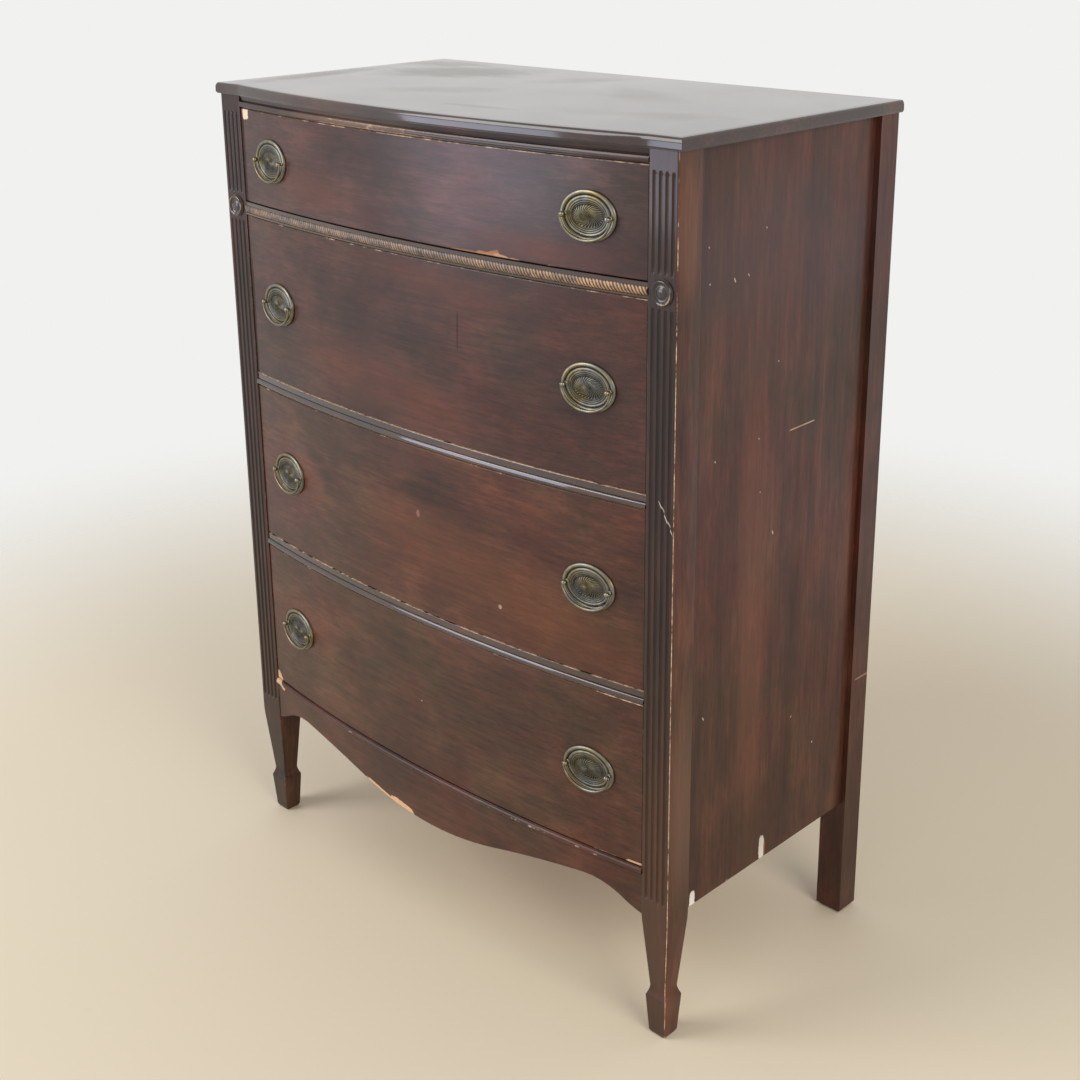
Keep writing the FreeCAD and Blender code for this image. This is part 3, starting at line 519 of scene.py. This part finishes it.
# small pale nicks: how far back and how high each one is, and its half width and half height
for back, high, wide, tall in ((-81, 991, 1.0, 3.0), (-130, 1037, 0.8, 1.2), (-127, 994, 1.2, 1.0),
                               (-55, 993, 0.7, 2.0), (-110, 776, 0.9, 1.3), (-25, 784, 0.6, 1.6),
                               (-19, 713, 0.7, 1.0), (10, 651, 1.2, 2.8), (10, 875, 0.8, 1.1),
                               (-23, 1044, 0.7, 1.4), (-170, 695, 0.9, 3.2), (-122, 441, 0.9, 2.6),
                               (118, 311, 1.4, 1.4), (-155, 324, 0.7, 1.8), (66, 370, 1.4, 0.8),
                               (-65, 181, 1.8, 0.8)):
    side_marks.append(("#cdbcad", 0.7, 0.19, (414, back, high), (0.5, 0, 0), (4, wide, tall)))
side_mahogany = mahogany("satin_mahogany_side", 2, ("#311913", "#4d291e", "#693d2a"), (0.3, 0.24),
                         marks=side_marks, flecks=0.05)


def dress(material, *nodes):
    """Give carried-over CAD nodes their finish."""
    for node in nodes:
        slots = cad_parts[node].data.materials
        slots.clear()
        slots.append(material)


dress(side_mahogany, "side_panel_left", "side_panel_right", "back_post_left", "back_post_right")


def plain_wood(name, grain, pale, dark):
    """Planed softwood or plain hardwood with no finish: growth lines 3 to 6 mm apart."""
    material, add = new_material(name)
    place = add("TexCoord").outputs["Object"]
    scale = [220.0] * 3
    scale[grain] = 9.0
    stretched = add("Mapping", {"Vector": place, "Scale": scale})
    lines = add("TexNoise", {"Vector": stretched, "Scale": 1.0, "Detail": 4.0})
    stain = add("TexNoise", {"Vector": place, "Scale": 6.0, "Detail": 4.0})
    tone = add("Mix", {"Factor": 0.45, "A": lines, "B": stain}, data_type="FLOAT")
    colour = add("ValToRGB", {"Fac": tone}, stops=[(0.32, dark), (0.62, pale)])
    bump = add("Bump", {"Height": lines, "Strength": 0.3, "Distance": 0.2 * mm})
    wood = add("BsdfPrincipled", {"Base Color": colour, "Roughness": 0.7, "Normal": bump})
    add("OutputMaterial", {"Surface": wood})
    return material


# Poplar and pine inside the case, gone brown with age
poplar_across = plain_wood("planed_poplar_across", 0, "#a98458", "#7a5836")
poplar_deep = plain_wood("planed_poplar_deep", 1, "#a98458", "#7a5836")
poplar_up = plain_wood("planed_poplar_up", 2, "#a07c52", "#6f5032")
dress(poplar_across, "bottom_rail", "back_rails", "dust_panels", "drawer_stops")
dress(poplar_deep, "drawer_runners", "drawer_guides", "top_kickers")
dress(poplar_up, "back_panel", "corner_blocks")

# Bright steel wood screws, dulled by age
screw_steel, add = new_material("dulled_steel")
place = add("TexCoord").outputs["Object"]
spots = add("TexNoise", {"Vector": place, "Scale": 900.0, "Detail": 3.0})
tint = add("ValToRGB", {"Fac": spots}, stops=[(0.35, "#6d675f"), (0.65, "#9a9a98")])
dull = add("MapRange", {"Value": spots, "To Min": 0.35, "To Max": 0.6})
metal = add("BsdfPrincipled", {"Base Color": tint, "Metallic": 1.0, "Roughness": dull})
add("OutputMaterial", {"Surface": metal})
dress(screw_steel, "top_screws")


# -------------------- moulded rails
# The frieze rail under the top and the two rails between the lower drawers: mahogany worked with
# a broad reed and a flat band above it, run round the bow and tenoned into the posts.
# their old polish is nearly black in the hollows, with narrow bright lines on the reeds
rail_shades = ("#1d0f0b", "#341c14", "#54301f")
rail_mahogany = mahogany("dark_polished_mahogany_rail", 0, rail_shades, (1.0, 0.06), coat_ior=1.65)
frieze_mahogany = mahogany("dark_polished_mahogany_frieze", 0, rail_shades, (0.6, 0.12),
                           marks=[("#8f7565", 0.6, 0.8, (-95, -220, 1142), flat, (120, 12, 6))])
post_rear = post_high.y
bow_rise = 30 * mm                      # the front swells this far ahead of the posts
bow_radius = (bay_half ** 2 + bow_rise ** 2) / (2 * bow_rise)
bow_centre = post_low.y + bow_radius - bow_rise
bow_columns = 96


def bow_y(x, inset):
    """Y of the bow at x, for a surface that lies inset behind the rails' face."""
    return bow_centre - sqrt((bow_radius - inset) ** 2 - x * x)


def bowed(section, half_width, columns):
    """Rings along the bow for a section of (inset, z) points; a third number is a fixed y instead."""
    rings = []
    for x in steps(-half_width, half_width, columns):
        rings.append([(x, point[2] if len(point) == 3 else bow_y(x, point[0]), point[1])
                      for point in section])
    return rings


# the frieze is scuffed along its lower arris and reed, left of the middle most
scuff_x, scuff_reach, scuff_most = -65 * mm, 150 * mm, 0.86
# name, finish, how far the band leans forward, and how far the rail's upper arris is rubbed
for node, finish, lean, line_rub in (("frieze_rail", frieze_mahogany, 1.4, 0.0),
                                     ("middle_rail", rail_mahogany, 0.0, 1.2),
                                     ("lower_rail", rail_mahogany, 0.0, 1.05)):
    z0, z1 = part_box(node)[0].z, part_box(node)[1].z
    # a broad reed that slopes back at its top, as (how proud, how far up, rub), and the band above it
    reed = [(-1.9, 0.9, 0.3), (-0.8, 0.9, 0.5), (0.2, 1.2, 0.5), (0.9, 1.9, 0.0), (1.2, 2.9, 0.0),
            (1.1, 4.0, 0.0), (0.85, 5.4, 0.0), (0.55, 6.8, 0.4), (0.05, 7.8, 0.4), (-0.7, 8.5, 0.0),
            (-1.7, 8.8, 0.0), (-2.2 - lean, 8.9, 0.0), (-2.2 - lean, 9.2, 0.0), (-1.5 - lean, 9.6, 0.0),
            (-1.4 - 0.9 * lean, 10.2, 0.0)]
    section = [(0.0, z0, post_rear), (1.9 * mm, z0)]
    section += [(-proud * mm, z0 + up * mm) for proud, up, worn_here in reed]
    worn = [0.0, 0.7] + [worn_here for proud, up, worn_here in reed]
    for inset, down, share in ((1.4, 1.3, 0.0), (1.4, 0.7, 0.3), (1.6, 0.2, 1.0), (2.1, 0.0, 1.0)):
        section.append((inset * mm, z1 - down * mm))
        worn.append(share * line_rub)
    section.append((0.0, z1, post_rear))
    worn.append(0.0)
    rail = piece(node, *loft(bowed(section, bay_half, bow_columns)), "case", "mahogany", finish)
    rail_rub = []
    for x in steps(-bay_half, bay_half, bow_columns):
        scuffed = 0.0
        if node == "frieze_rail":
            scuffed = scuff_most * exp(-((x - scuff_x) / scuff_reach) ** 2)
        rail_rub += [share + (scuffed if 1 <= place <= 9 else 0.0) for place, share in enumerate(worn)]
    rub(rail, rail_rub)


# -------------------- rope rail and rope moulding
# The rail under the top drawer carries a rope of twisted strands, carved in a bead that is glued in
# a channel. Its stain is rubbed through to gold on the high spots.
z0, z1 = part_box("rope_rail")[0].z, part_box("rope_rail")[1].z
rope_low, rope_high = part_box("rope_moulding")
channel_deep = 3.0 * mm
play = 0.1 * mm                         # between the rope and its channel
section = [(0.0, z0, post_rear), (1.0 * mm, z0), (0.3 * mm, z0 + 0.4 * mm), (0.0, z0 + 1.2 * mm),
           (0.0, rope_low.z - 0.8 * mm), (0.5 * mm, rope_low.z - 0.2 * mm),
           (channel_deep, rope_low.z - play), (channel_deep, rope_high.z + play),
           (0.0, rope_high.z + play), (0.0, z1 - 0.7 * mm), (0.7 * mm, z1), (0.0, z1, post_rear)]
piece("rope_rail", *loft(bowed(section, bay_half, bow_columns)), "case", "mahogany", rail_mahogany)

strand_pitch = 4.8 * mm
strand_lean = 1.75                      # strands pass this many pitches on their way up the rope
strand_groove = 1.0 * mm
rope_columns = 1260                     # eight to a strand
rope_proud = 2.6 * mm
rope_root = 0.4 * mm
rope_middle = (rope_low.z + rope_high.z) / 2
rope_tall = (rope_high.z - rope_low.z) / 2
rings = []
for x in steps(-rope_high.x, rope_high.x, rope_columns):
    ring = [(x, bow_y(x, channel_deep), rope_low.z)]
    for turn in steps(-pi / 2, pi / 2, 12):
        z = rope_middle + rope_tall * sin(turn)
        strand = abs(sin(pi * (x / strand_pitch + strand_lean * turn / pi)))
        cut = 0.0
        if cos(turn) > 1e-6:
            cut = strand_groove * (1 - strand ** 0.7) * cos(turn) ** 0.5
        ring.append((x, bow_y(x, cut - rope_proud * cos(turn) + rope_root), z))
    ring.append((x, bow_y(x, channel_deep), rope_high.z))
    rings.append(ring)

# Stained and gilded carving: dark in the grooves, tan on the high spots, gold where gilding is left
rope_finish, add = new_material("rubbed_gilt_carving")
place = add("TexCoord").outputs["Object"]
parts = add("SeparateXYZ", {"Vector": place}).outputs
up_rope = add("Math", {0: parts["Z"], 1: rope_middle}, operation="SUBTRACT")
up_rope = add("Math", {0: up_rope, 1: rope_tall}, operation="DIVIDE")
around = add("Math", {0: up_rope}, operation="ARCSINE", use_clamp=False)
twist = add("Math", {0: around, 1: strand_lean / pi}, operation="MULTIPLY")
along = add("Math", {0: parts["X"], 1: strand_pitch}, operation="DIVIDE")
phase = add("Math", {0: along, 1: twist}, operation="ADD")
phase = add("Math", {0: phase, 1: pi}, operation="MULTIPLY")
wave = add("Math", {0: phase}, operation="SINE")
high = add("Math", {0: wave}, operation="ABSOLUTE")
patchy = add("TexNoise", {"Vector": place, "Scale": 160.0, "Detail": 4.0})
patchy = add("MapRange", {"Value": patchy, "From Min": 0.3, "From Max": 0.7, "To Min": -0.3,
    "To Max": 0.3})
high = add("Math", {0: high, 1: patchy}, operation="ADD")
stained = add("ValToRGB", {"Fac": high}, stops=[(0.25, "#120b08"), (0.6, "#35231a"), (1.0, "#7d6049")])
gilded = add("ValToRGB", {"Fac": high}, stops=[(0.25, "#20140c"), (0.6, "#6e4c2e"), (1.0, "#c79a68")])
# more gilding is left towards the right
left_gilt = add("MapRange", {"Value": parts["X"], "From Min": 0.1, "From Max": 0.36, "To Min": 0.2,
    "To Max": 0.95})
uneven = add("TexNoise", {"Vector": place, "Scale": 26.0, "Detail": 3.0})
uneven = add("MapRange", {"Value": uneven, "From Min": 0.35, "From Max": 0.65, "To Min": -0.3,
    "To Max": 0.3})
left_gilt = add("Math", {0: left_gilt, 1: uneven}, operation="ADD", use_clamp=True)
tint = add("Mix", {"Factor": left_gilt, "A": stained, "B": gilded}, data_type="RGBA")
carving = add("BsdfPrincipled", {"Base Color": tint, "Roughness": 0.42, "Coat Weight": 0.3,
    "Coat Roughness": 0.3})
add("OutputMaterial", {"Surface": carving})
piece("rope_moulding", *loft(rings), "case", "gilt_rope", rope_finish, smooth=60.0)


# -------------------- apron
# A bent mahogany board under the bottom drawer, sawn to a serpentine lower edge and worked with a
# bead along its top; glued to the rail behind it and tenoned into the posts.
apron_low, apron_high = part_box("apron")
apron_end = (bay_half, 178 * mm)
apron_turn = (bay_half - 32 * mm, 192.5 * mm)
apron_crest = (bay_half - 92 * mm, 204.5 * mm)
apron_sweep = (125 * mm, 176 * mm)
belly_drop = 13.5 * mm                  # of the middle's arc below its ends
apron_rear = 21 * mm
apron_face = 1.0 * mm                   # behind the rails' face
bead_tall = 9 * mm
bead_proud = 2.2 * mm


def on_arc(x, start, end, rise):
    """Height at x of the arc from start to end that stands off its chord by rise, to the left."""
    chord = (end[0] - start[0], end[1] - start[1])
    length = hypot(*chord)
    radius = (length ** 2 / 4 + rise ** 2) / (2 * abs(rise))
    reach = (radius - abs(rise)) * (1 if rise > 0 else -1)
    centre = ((start[0] + end[0]) / 2 + chord[1] / length * reach,
              (start[1] + end[1]) / 2 - chord[0] / length * reach)
    drop = sqrt(max(0.0, radius ** 2 - (x - centre[0]) ** 2))
    # on the way from the post to the middle, left of the chord is below it
    return centre[1] - drop if rise > 0 else centre[1] + drop


def apron_edge(x):
    """Height of the apron's lower edge."""
    x = abs(x)
    if x > apron_turn[0]:
        return on_arc(x, apron_end, apron_turn, 1 * mm)
    if x > apron_crest[0]:
        return on_arc(x, apron_turn, apron_crest, -4.5 * mm)
    if x > apron_sweep[0]:
        return on_arc(x, apron_crest, apron_sweep, -2.8 * mm)
    radius = (apron_sweep[0] ** 2 + belly_drop ** 2) / (2 * belly_drop)
    return apron_low.z + radius - sqrt(radius ** 2 - x * x)


def half_round(z0, z1, root, proud, count):
    """Section points of a reed between two heights, standing proud of the bow."""
    middle = (z0 + z1) / 2
    return [(root - (root + proud) * cos(turn), middle + (z1 - z0) / 2 * sin(turn))
            for turn in steps(-pi / 2, pi / 2, count)]


apron_xs = steps(-bay_half, bay_half, 190)
for turning in (apron_turn, apron_crest, apron_sweep):
    apron_xs += [-turning[0], turning[0]]
bead_z = apron_high.z - bead_tall
rings = []
for x in sorted(apron_xs):
    edge = apron_edge(x)
    ring = [(apron_rear, edge), (1.9 * mm, edge), (1.3 * mm, edge + 0.3 * mm),
            (apron_face, edge + 0.9 * mm)]
    ring += [(apron_face, z) for z in steps(edge + 2.0 * mm, bead_z - 1.6 * mm, 4)]
    ring += [(1.9 * mm, bead_z - 0.8 * mm), (1.6 * mm, bead_z)]
    ring += half_round(bead_z, apron_high.z - 0.4 * mm, apron_face, bead_proud, 10)
    ring += [(1.2 * mm, apron_high.z), (apron_rear, apron_high.z)]
    rings.append([(x, bow_y(x, inset), z) for inset, z in ring])
apron_mahogany = mahogany("satin_mahogany_apron", 0, ("#2d1912", "#492b1f", "#663e2c"), (0.36, 0.3),
                          marks=[("#e2b68e", 0.9, 0.08, (-78, -222, 168), (0, 0.2, 0), (56, 8, 3.2)),
                                 ("#e2b68e", 0.9, 0.08, (-50, -222, 168), (0, 0.14, 0), (25, 8, 5)),
                                 ("#d9b08a", 0.9, 0.08, (-370, -195, 241), (0, 0.5, 0), (14, 8, 6))])
apron = piece("apron", *loft(rings), "case", "mahogany", apron_mahogany)
# rubbed along the lower edge and along the crest of the bead
apron_rub = [0.0, 0.8, 0.85, 0.7] + [0.0] * 10 + [0.3, 0.7, 0.76, 0.7, 0.3] + [0.0] * 5
rub(apron, apron_rub * len(rings))


# -------------------- drawers
# Fronts of veneered hardwood bent to the bow, sides dovetailed into them from behind, a thin
# bottom in grooves. The veneer's grain runs across, mottled dark and red under worn varnish.
front_thick = 19 * mm
side_thick = 12 * mm
tail_long = 12 * mm
tail_spacing = 57 * mm
tail_flare = 3 * mm
pin_width = 6 * mm
pin_sunk = 3 * mm                       # how far a pin runs on into the front
face_inset = 1.5 * mm
front_inside = face_inset + front_thick
lap = front_inside - tail_long
face_deep = 4 * mm                      # what lies farther back has no veneer
ease = 0.9 * mm                         # of the edges of the face
lining = plain_wood("planed_oak_lining", 1, "#b99566", "#8d6b43")
lining_across = plain_wood("planed_oak_back", 0, "#b99566", "#8d6b43")
orange, tan, pale = "#b57f58", "#cf9f78", "#d9b08a"
dark, green, red, fox = "#20120e", "#332a26", "#70402f", "#7c4526"
# colour, strength, softness, place, lean and half sizes of each drawer's marks
drawer_marks = {
    1: [("#f2d8ba", 0.95, 0.08, (-366, -195, 1129), 0, (8.6, 6, 8.6)),
        # this thin dark strip along the left end is painted shade, widening the dark gap beside the
        # post
        (dark, 0.85, 0.15, (-374, -195, 1070), 0, (2.4, 12, 66)),
        (orange, 0.6, 0.18, (114, -219, 1003.5), 0, (30, 5, 2.6)),
        (orange, 0.8, 0.18, (143, -219, 1004), 0.08, (16, 5, 3.8)),
        (orange, 0.75, 0.19, (153, -219, 1007), -0.3, (10, 5, 3.4)),
        (tan, 0.9, 0.18, (170, -219, 1004), 0.15, (13, 5, 3.4)),
        (tan, 0.85, 0.16, (188, -219, 1003.5), 0, (9, 5, 2.4)),
        (green, 0.4, 0.9, (-70, -215, 1095), 0.2, (75, 40, 26)),
        (red, 0.4, 0.9, (-190, -215, 1040), 0, (85, 40, 20)),
        (green, 0.45, 0.9, (365, -200, 1065), 0, (35, 40, 70)),
        (red, 0.4, 0.9, (215, -215, 1020), 0, (70, 40, 15))],
    # drawer 2's first mark, a thin dark strip along its left end, is painted shade widening the gap
    # beside the post
    2: [(dark, 0.8, 0.15, (-375, -195, 820), 0.02, (2.6, 12, 100)),
        (dark, 0.75, 0.5, (91, -222, 902), 0.03, (1.3, 6, 25)),
        (green, 0.3, 0.9, (-140, -215, 900), 0.3, (120, 40, 40)),
        (red, 0.35, 0.9, (-60, -215, 800), 0.1, (150, 40, 35)),
        (red, 0.3, 0.9, (60, -215, 955), 0.1, (110, 40, 18)),
        (green, 0.3, 0.9, (330, -200, 900), 0, (50, 40, 90))],
    3: [("#9c6f62", 0.7, 0.4, (6, -223, 635), 0, (3, 4, 5)),
        ("#c09a8c", 0.85, 0.3, (155, -218, 544), 0, (3.4, 5, 3.6)),
        (fox, 0.3, 0.9, (120, -210, 580), 0.15, (170, 40, 42)),
        (fox, 0.15, 0.9, (270, -210, 530), 0, (90, 30, 38)),
        (dark, 0.3, 0.9, (60, -210, 655), 0.12, (190, 40, 14))],
    4: [(pale, 0.9, 0.1, (-371, -195, 247), 0.9, (15, 6, 8)),
        (pale, 0.9, 0.1, (369, -195, 248), 0, (13, 5, 3))]}
# the top drawer has a thicker varnish than the rest; the shades of the two upper drawers are cooler, a
# painted bluish sheen of the light above them, and those of the two lower ones warmer, a painted
# reflection of the pale floor
drawer_shades_with_sheen = {1: ("#2b1815", "#472b24", "#684139"), 2: ("#2b1712", "#44271e", "#633a2d"),
                 3: ("#311a12", "#4f2c1e", "#70432d"), 4: ("#301b13", "#4c2d20", "#69422f")}
# how far each drawer's upper and lower edge is rubbed through
edge_rub = {1: (1.0, 0.72), 2: (0.85, 0.62), 3: (0.75, 0.62), 4: (0.7, 0.66)}

for number in (1, 2, 3, 4):
    body = "drawer_%d" % number
    low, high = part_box(body + "_front")
    marks = [(*mark[:4], (0, mark[4], 0), mark[5]) for mark in drawer_marks[number]]
    veneer = mahogany("satin_mahogany_front_%d" % number, 0, drawer_shades_with_sheen[number],
                      (0.45 if number == 1 else 0.36, 0.22), marks=marks, flecks=0.012)
    half = high.x
    upper_rub, lower_rub = edge_rub[number]
    # inset, height and rub from the back of the lap round the face
    outline = [(lap, low.z, 0.0), (face_inset + ease, low.z, lower_rub),
               (face_inset + 0.3 * ease, low.z + 0.3 * ease, lower_rub),
               (face_inset, low.z + ease, lower_rub), (face_inset, low.z + 1.6 * ease, 0.0),
               (face_inset, high.z - 1.8 * ease, 0.0), (face_inset, high.z - ease, upper_rub),
               (face_inset + 0.3 * ease, high.z - 0.3 * ease, upper_rub),
               (face_inset + ease, high.z, upper_rub), (lap, high.z, 0.0)]
    face_skin = loft(bowed([(inset, z) for inset, z, worn_here in outline], half, bow_columns))
    core_half = half - side_thick
    core = loft(bowed([(lap, low.z), (lap, high.z), (front_inside, high.z), (front_inside, low.z)],
                      core_half, bow_columns // 2))
    # the pins between the dovetails, at both ends
    tails_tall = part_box(body + "_side_right")[1].z - low.z
    count = round(tails_tall / tail_spacing)
    pitch = tails_tall / count
    tip_y = bow_y(half, front_inside) - tail_long
    pins = []
    for side in (1, -1):
        for index in range(count + 1):
            z = low.z + index * pitch
            wide, narrow = pin_width / 2, pin_width / 2 + tail_flare
            bottom_tip, top_tip = max(low.z, z - wide), z + wide
            bottom_root, top_root = max(low.z, z - narrow), z + narrow
            if index == count:
                top_tip, top_root = high.z, high.z
            rings = []
            for x in (side * core_half, side * half):
                rings.append([(x, tip_y - pin_sunk, bottom_tip), (x, tip_y - pin_sunk, top_tip),
                              (x, bow_y(x, front_inside), top_root),
                              (x, bow_y(x, front_inside), bottom_root)])
            pins.append(loft(rings))
    front = piece(body + "_front", *joined(face_skin, core, *pins), body, "mahogany", veneer,
                  lining_across)
    for face in front.data.polygons:
        if face.center.y > bow_y(face.center.x, face_deep):
            face.material_index = 1
    front_rub = []
    for vertex in front.data.vertices:
        x, y, z = vertex.co
        beside = [worn_here for inset, height, worn_here in outline
                  if abs(z - height) < 1e-5 and abs(y - bow_y(x, inset)) < 1e-5]
        # less at the top drawer's left end, more at the bottom drawer's right one
        share = 0.75 if number == 1 and x < -217 * mm else 1.45 if number == 4 and x > 300 * mm else 1.0
        front_rub.append(share * beside[0] if beside else 0.0)
    rub(front, front_rub)
    dress(lining, body + "_side_left", body + "_side_right")
    dress(lining_across, body + "_back", body + "_bottom")


# -------------------- brass pulls
# Cast and stamped brass, patinated dark in the hollows: an oval plate with raised rings round a
# fluted sunburst, two ball headed posts riveted inside the drawer, and a bail that hangs in them.
antique_brass, add = new_material("antique_brass")
place = add("TexCoord").outputs["Object"]
cloud = add("TexNoise", {"Vector": place, "Scale": 110.0, "Detail": 5.0})
rubbed = add("Attribute", attribute_name="rub").outputs["Fac"]
rubbed = add("Mix", {"Factor": 0.35, "A": rubbed, "B": cloud}, data_type="FLOAT")
tint = add("ValToRGB", {"Fac": rubbed}, stops=[(0.2, "#1e1c19"), (0.45, "#4d4a43"), (0.72, "#7f7a6c"),
    (1.0, "#b0a998")])
# the lacquer has yellowed in some places, and the metal has gone grey where it is lost
yellowed = add("TexNoise", {"Vector": place, "Scale": 38.0, "Detail": 3.0})
yellowed = add("ValToRGB", {"Fac": yellowed}, stops=[(0.4, "#f0f5ff"), (0.52, "#fffcf2"),
    (0.66, "#fff0c4")])
tint = add("Mix", {"Factor": 1.0, "A": tint, "B": yellowed}, data_type="RGBA", blend_type="MULTIPLY")
dull = add("MapRange", {"Value": rubbed, "From Min": 0.2, "From Max": 0.8, "To Min": 0.55,
    "To Max": 0.32})
brass = add("BsdfPrincipled", {"Base Color": tint, "Metallic": 1.0, "Roughness": dull})
add("OutputMaterial", {"Surface": brass})
brass_finish = ("antique_brass", antique_brass)

plate_wide = 79 * mm
plate_tall = 61 * mm
# share of the plate's half width and of its half height, height off the wood, how much it is rubbed
plate_profile = [(1.0, 1.0, 0.0, 0.3), (1.0, 1.0, 0.9, 0.5), (0.985, 0.985, 2.0, 0.7),
                 (0.955, 0.95, 2.8, 0.85), (0.92, 0.91, 3.1, 0.9), (0.885, 0.87, 2.9, 0.8),
                 (0.855, 0.835, 2.3, 0.55), (0.84, 0.815, 1.7, 0.2), (0.825, 0.795, 1.5, 0.15),
                 (0.81, 0.78, 1.9, 0.4),
                 (0.785, 0.755, 2.5, 0.75), (0.75, 0.72, 2.8, 0.85), (0.715, 0.69, 2.5, 0.7),
                 (0.70, 0.67, 2.0, 0.3), (0.685, 0.655, 2.1, 0.5), (0.665, 0.63, 2.5, 0.75),
                 (0.64, 0.60, 2.2, 0.5), (0.625, 0.58, 1.8, 0.2), (0.605, 0.555, 2.2, 0.65),
                 (0.585, 0.53, 2.0, 0.5), (0.57, 0.505, 1.5, 0.2), (0.555, 0.475, 1.8, 0.55),
                 (0.54, 0.45, 1.4, 0.2)]
dome_edge = (0.53, 0.41)
dome_rows = 12
plate_sides = 180
dome_flutes = 30


def pull_plate(placed):
    """Rings of one plate from its edge to its middle, and how rubbed each ring's points are."""
    angles = [2 * pi * i / plate_sides for i in range(plate_sides)]
    rings = []
    brightness = []
    for wide, tall, height, bright in plate_profile:
        rings.append([placed @ Vector((wide * plate_wide / 2 * cos(angle), -height * mm,
                                       tall * plate_tall / 2 * sin(angle))) for angle in angles])
        brightness += [bright] * plate_sides
    for row in range(dome_rows + 1):
        share = 1.0 - row / dome_rows + 0.01
        rise = 1.3 + 2.1 * (1 - share ** 2)
        rings.append([])
        for angle in angles:
            wave = abs(sin(dome_flutes * (angle + 0.8 * share) / 2))
            depth = 0.9 * min(1.0, 2.5 * share) * (1 - wave)
            rings[-1].append(placed @ Vector((share * dome_edge[0] * plate_wide / 2 * cos(angle),
                                              -(rise - depth) * mm,
                                              share * dome_edge[1] * plate_tall / 2 * sin(angle))))
            brightness.append(0.02 + 0.75 * wave ** 1.8)
    return rings, brightness


pull_reach = 298 * mm
pull_turn = asin(pull_reach / (bow_radius - face_inset))
boring = 63.5 * mm
standoff = 7.6 * mm
ball_profile = [(2.9, 1.0), (3.3, 1.3), (3.3, 1.8), (2.8, 2.4), (2.1, 2.9), (1.9, 3.5), (2.0, 4.2),
                (2.5, 4.9), (3.0, 5.7), (3.3, 6.6), (3.4, 7.6), (3.3, 8.6), (3.0, 9.5), (2.4, 10.3),
                (1.5, 10.8), (0.5, 11.0)]
bail_drop = 27.5 * mm
bail_half = boring / 2 + 3.6 * mm


def tube(line, radii, side_axis, sides=14):
    """Rings of a bar along a line of points in one plane; side_axis is square to that plane."""
    rings = []
    for i, (point, radius) in enumerate(zip(line, radii)):
        along = (line[min(i + 1, len(line) - 1)] - line[max(i - 1, 0)]).normalized()
        across = along.cross(side_axis).normalized()
        rings.append([point + radius * (cos(2 * pi * k / sides) * across
                                        + sin(2 * pi * k / sides) * side_axis)
                      for k in range(sides)])
    return rings


# half width of a post's square shank and of the rove over its end, and how far back each reaches
post_squares = ((1.7, -1.2, 22.2), (4.5, 19.5, 21.1))
# distance past the post and radius down a bail's turned end
knob_profile = ((2.2, 1.1), (3.2, 1.25), (3.7, 1.5), (4.4, 1.5), (4.9, 1.0), (5.0, 0.2))
knob_angles = [2 * pi * i / 20 for i in range(20)]
for number in (1, 2, 3, 4):
    body = "drawer_%d" % number
    low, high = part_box(body + "_front")
    pull_z = (low.z + high.z) / 2
    plates = []
    plates_rub = []
    posts = []
    for side, side_name in ((-1, "left"), (1, "right")):
        x = side * pull_reach
        placed = (Matrix.Translation((x, bow_y(x, face_inset), pull_z))
                  @ Matrix.Rotation(side * pull_turn, 4, "Z"))
        rings, brightness = pull_plate(placed)
        plates.append(loft(rings))
        plates_rub += brightness
        for end in (-1, 1):
            off_middle = end * boring / 2
            centre = placed @ Vector((off_middle, 0.0, 0.0))
            posts.append(loft(turned(ball_profile, centre, 28, side * pull_turn)))
            for half_size, y0, y1 in post_squares:
                posts.append(loft([[placed @ Vector((off_middle + a * half_size * mm, depth * mm,
                                                     b * half_size * mm))
                                    for a, b in ((-1, -1), (1, -1), (1, 1), (-1, 1))]
                                   for depth in (y0, y1)]))
        # bail: half an oval, a little heavier at the bottom, with turned ends that pin into the balls
        line = []
        radii = []
        for turn in steps(pi, 2 * pi, 48):
            hung = Vector((bail_half * cos(turn), 0.0, bail_drop * sin(turn)))
            line.append(placed.to_3x3() @ hung + placed @ Vector((0.0, -standoff, 0.0)))
            radii.append((1.25 + 0.8 * sin(turn) ** 2) * mm)
        bail_skins = [loft(tube(line, radii, placed.to_3x3() @ Vector((0.0, 1.0, 0.0))))]
        for end in (-1, 1):
            bail_skins.append(loft([[placed @ Vector((end * (boring / 2 + away * mm),
                                                      radius * mm * cos(angle) - standoff,
                                                      radius * mm * sin(angle)))
                                     for angle in knob_angles] for away, radius in knob_profile]))
        bail_name = "%s_bail_%s" % (body, side_name)
        bail = piece(bail_name, *joined(*bail_skins), bail_name, *brass_finish, smooth=50.0)
        rub(bail, [0.8] * len(bail.data.vertices))
    plate = piece(body + "_pull_plates", *joined(*plates), body, *brass_finish, smooth=50.0)
    rub(plate, plates_rub)
    post = piece(body + "_pull_posts", *joined(*posts), body, *brass_finish, smooth=50.0)
    rub(post, [0.9] * len(post.data.vertices))
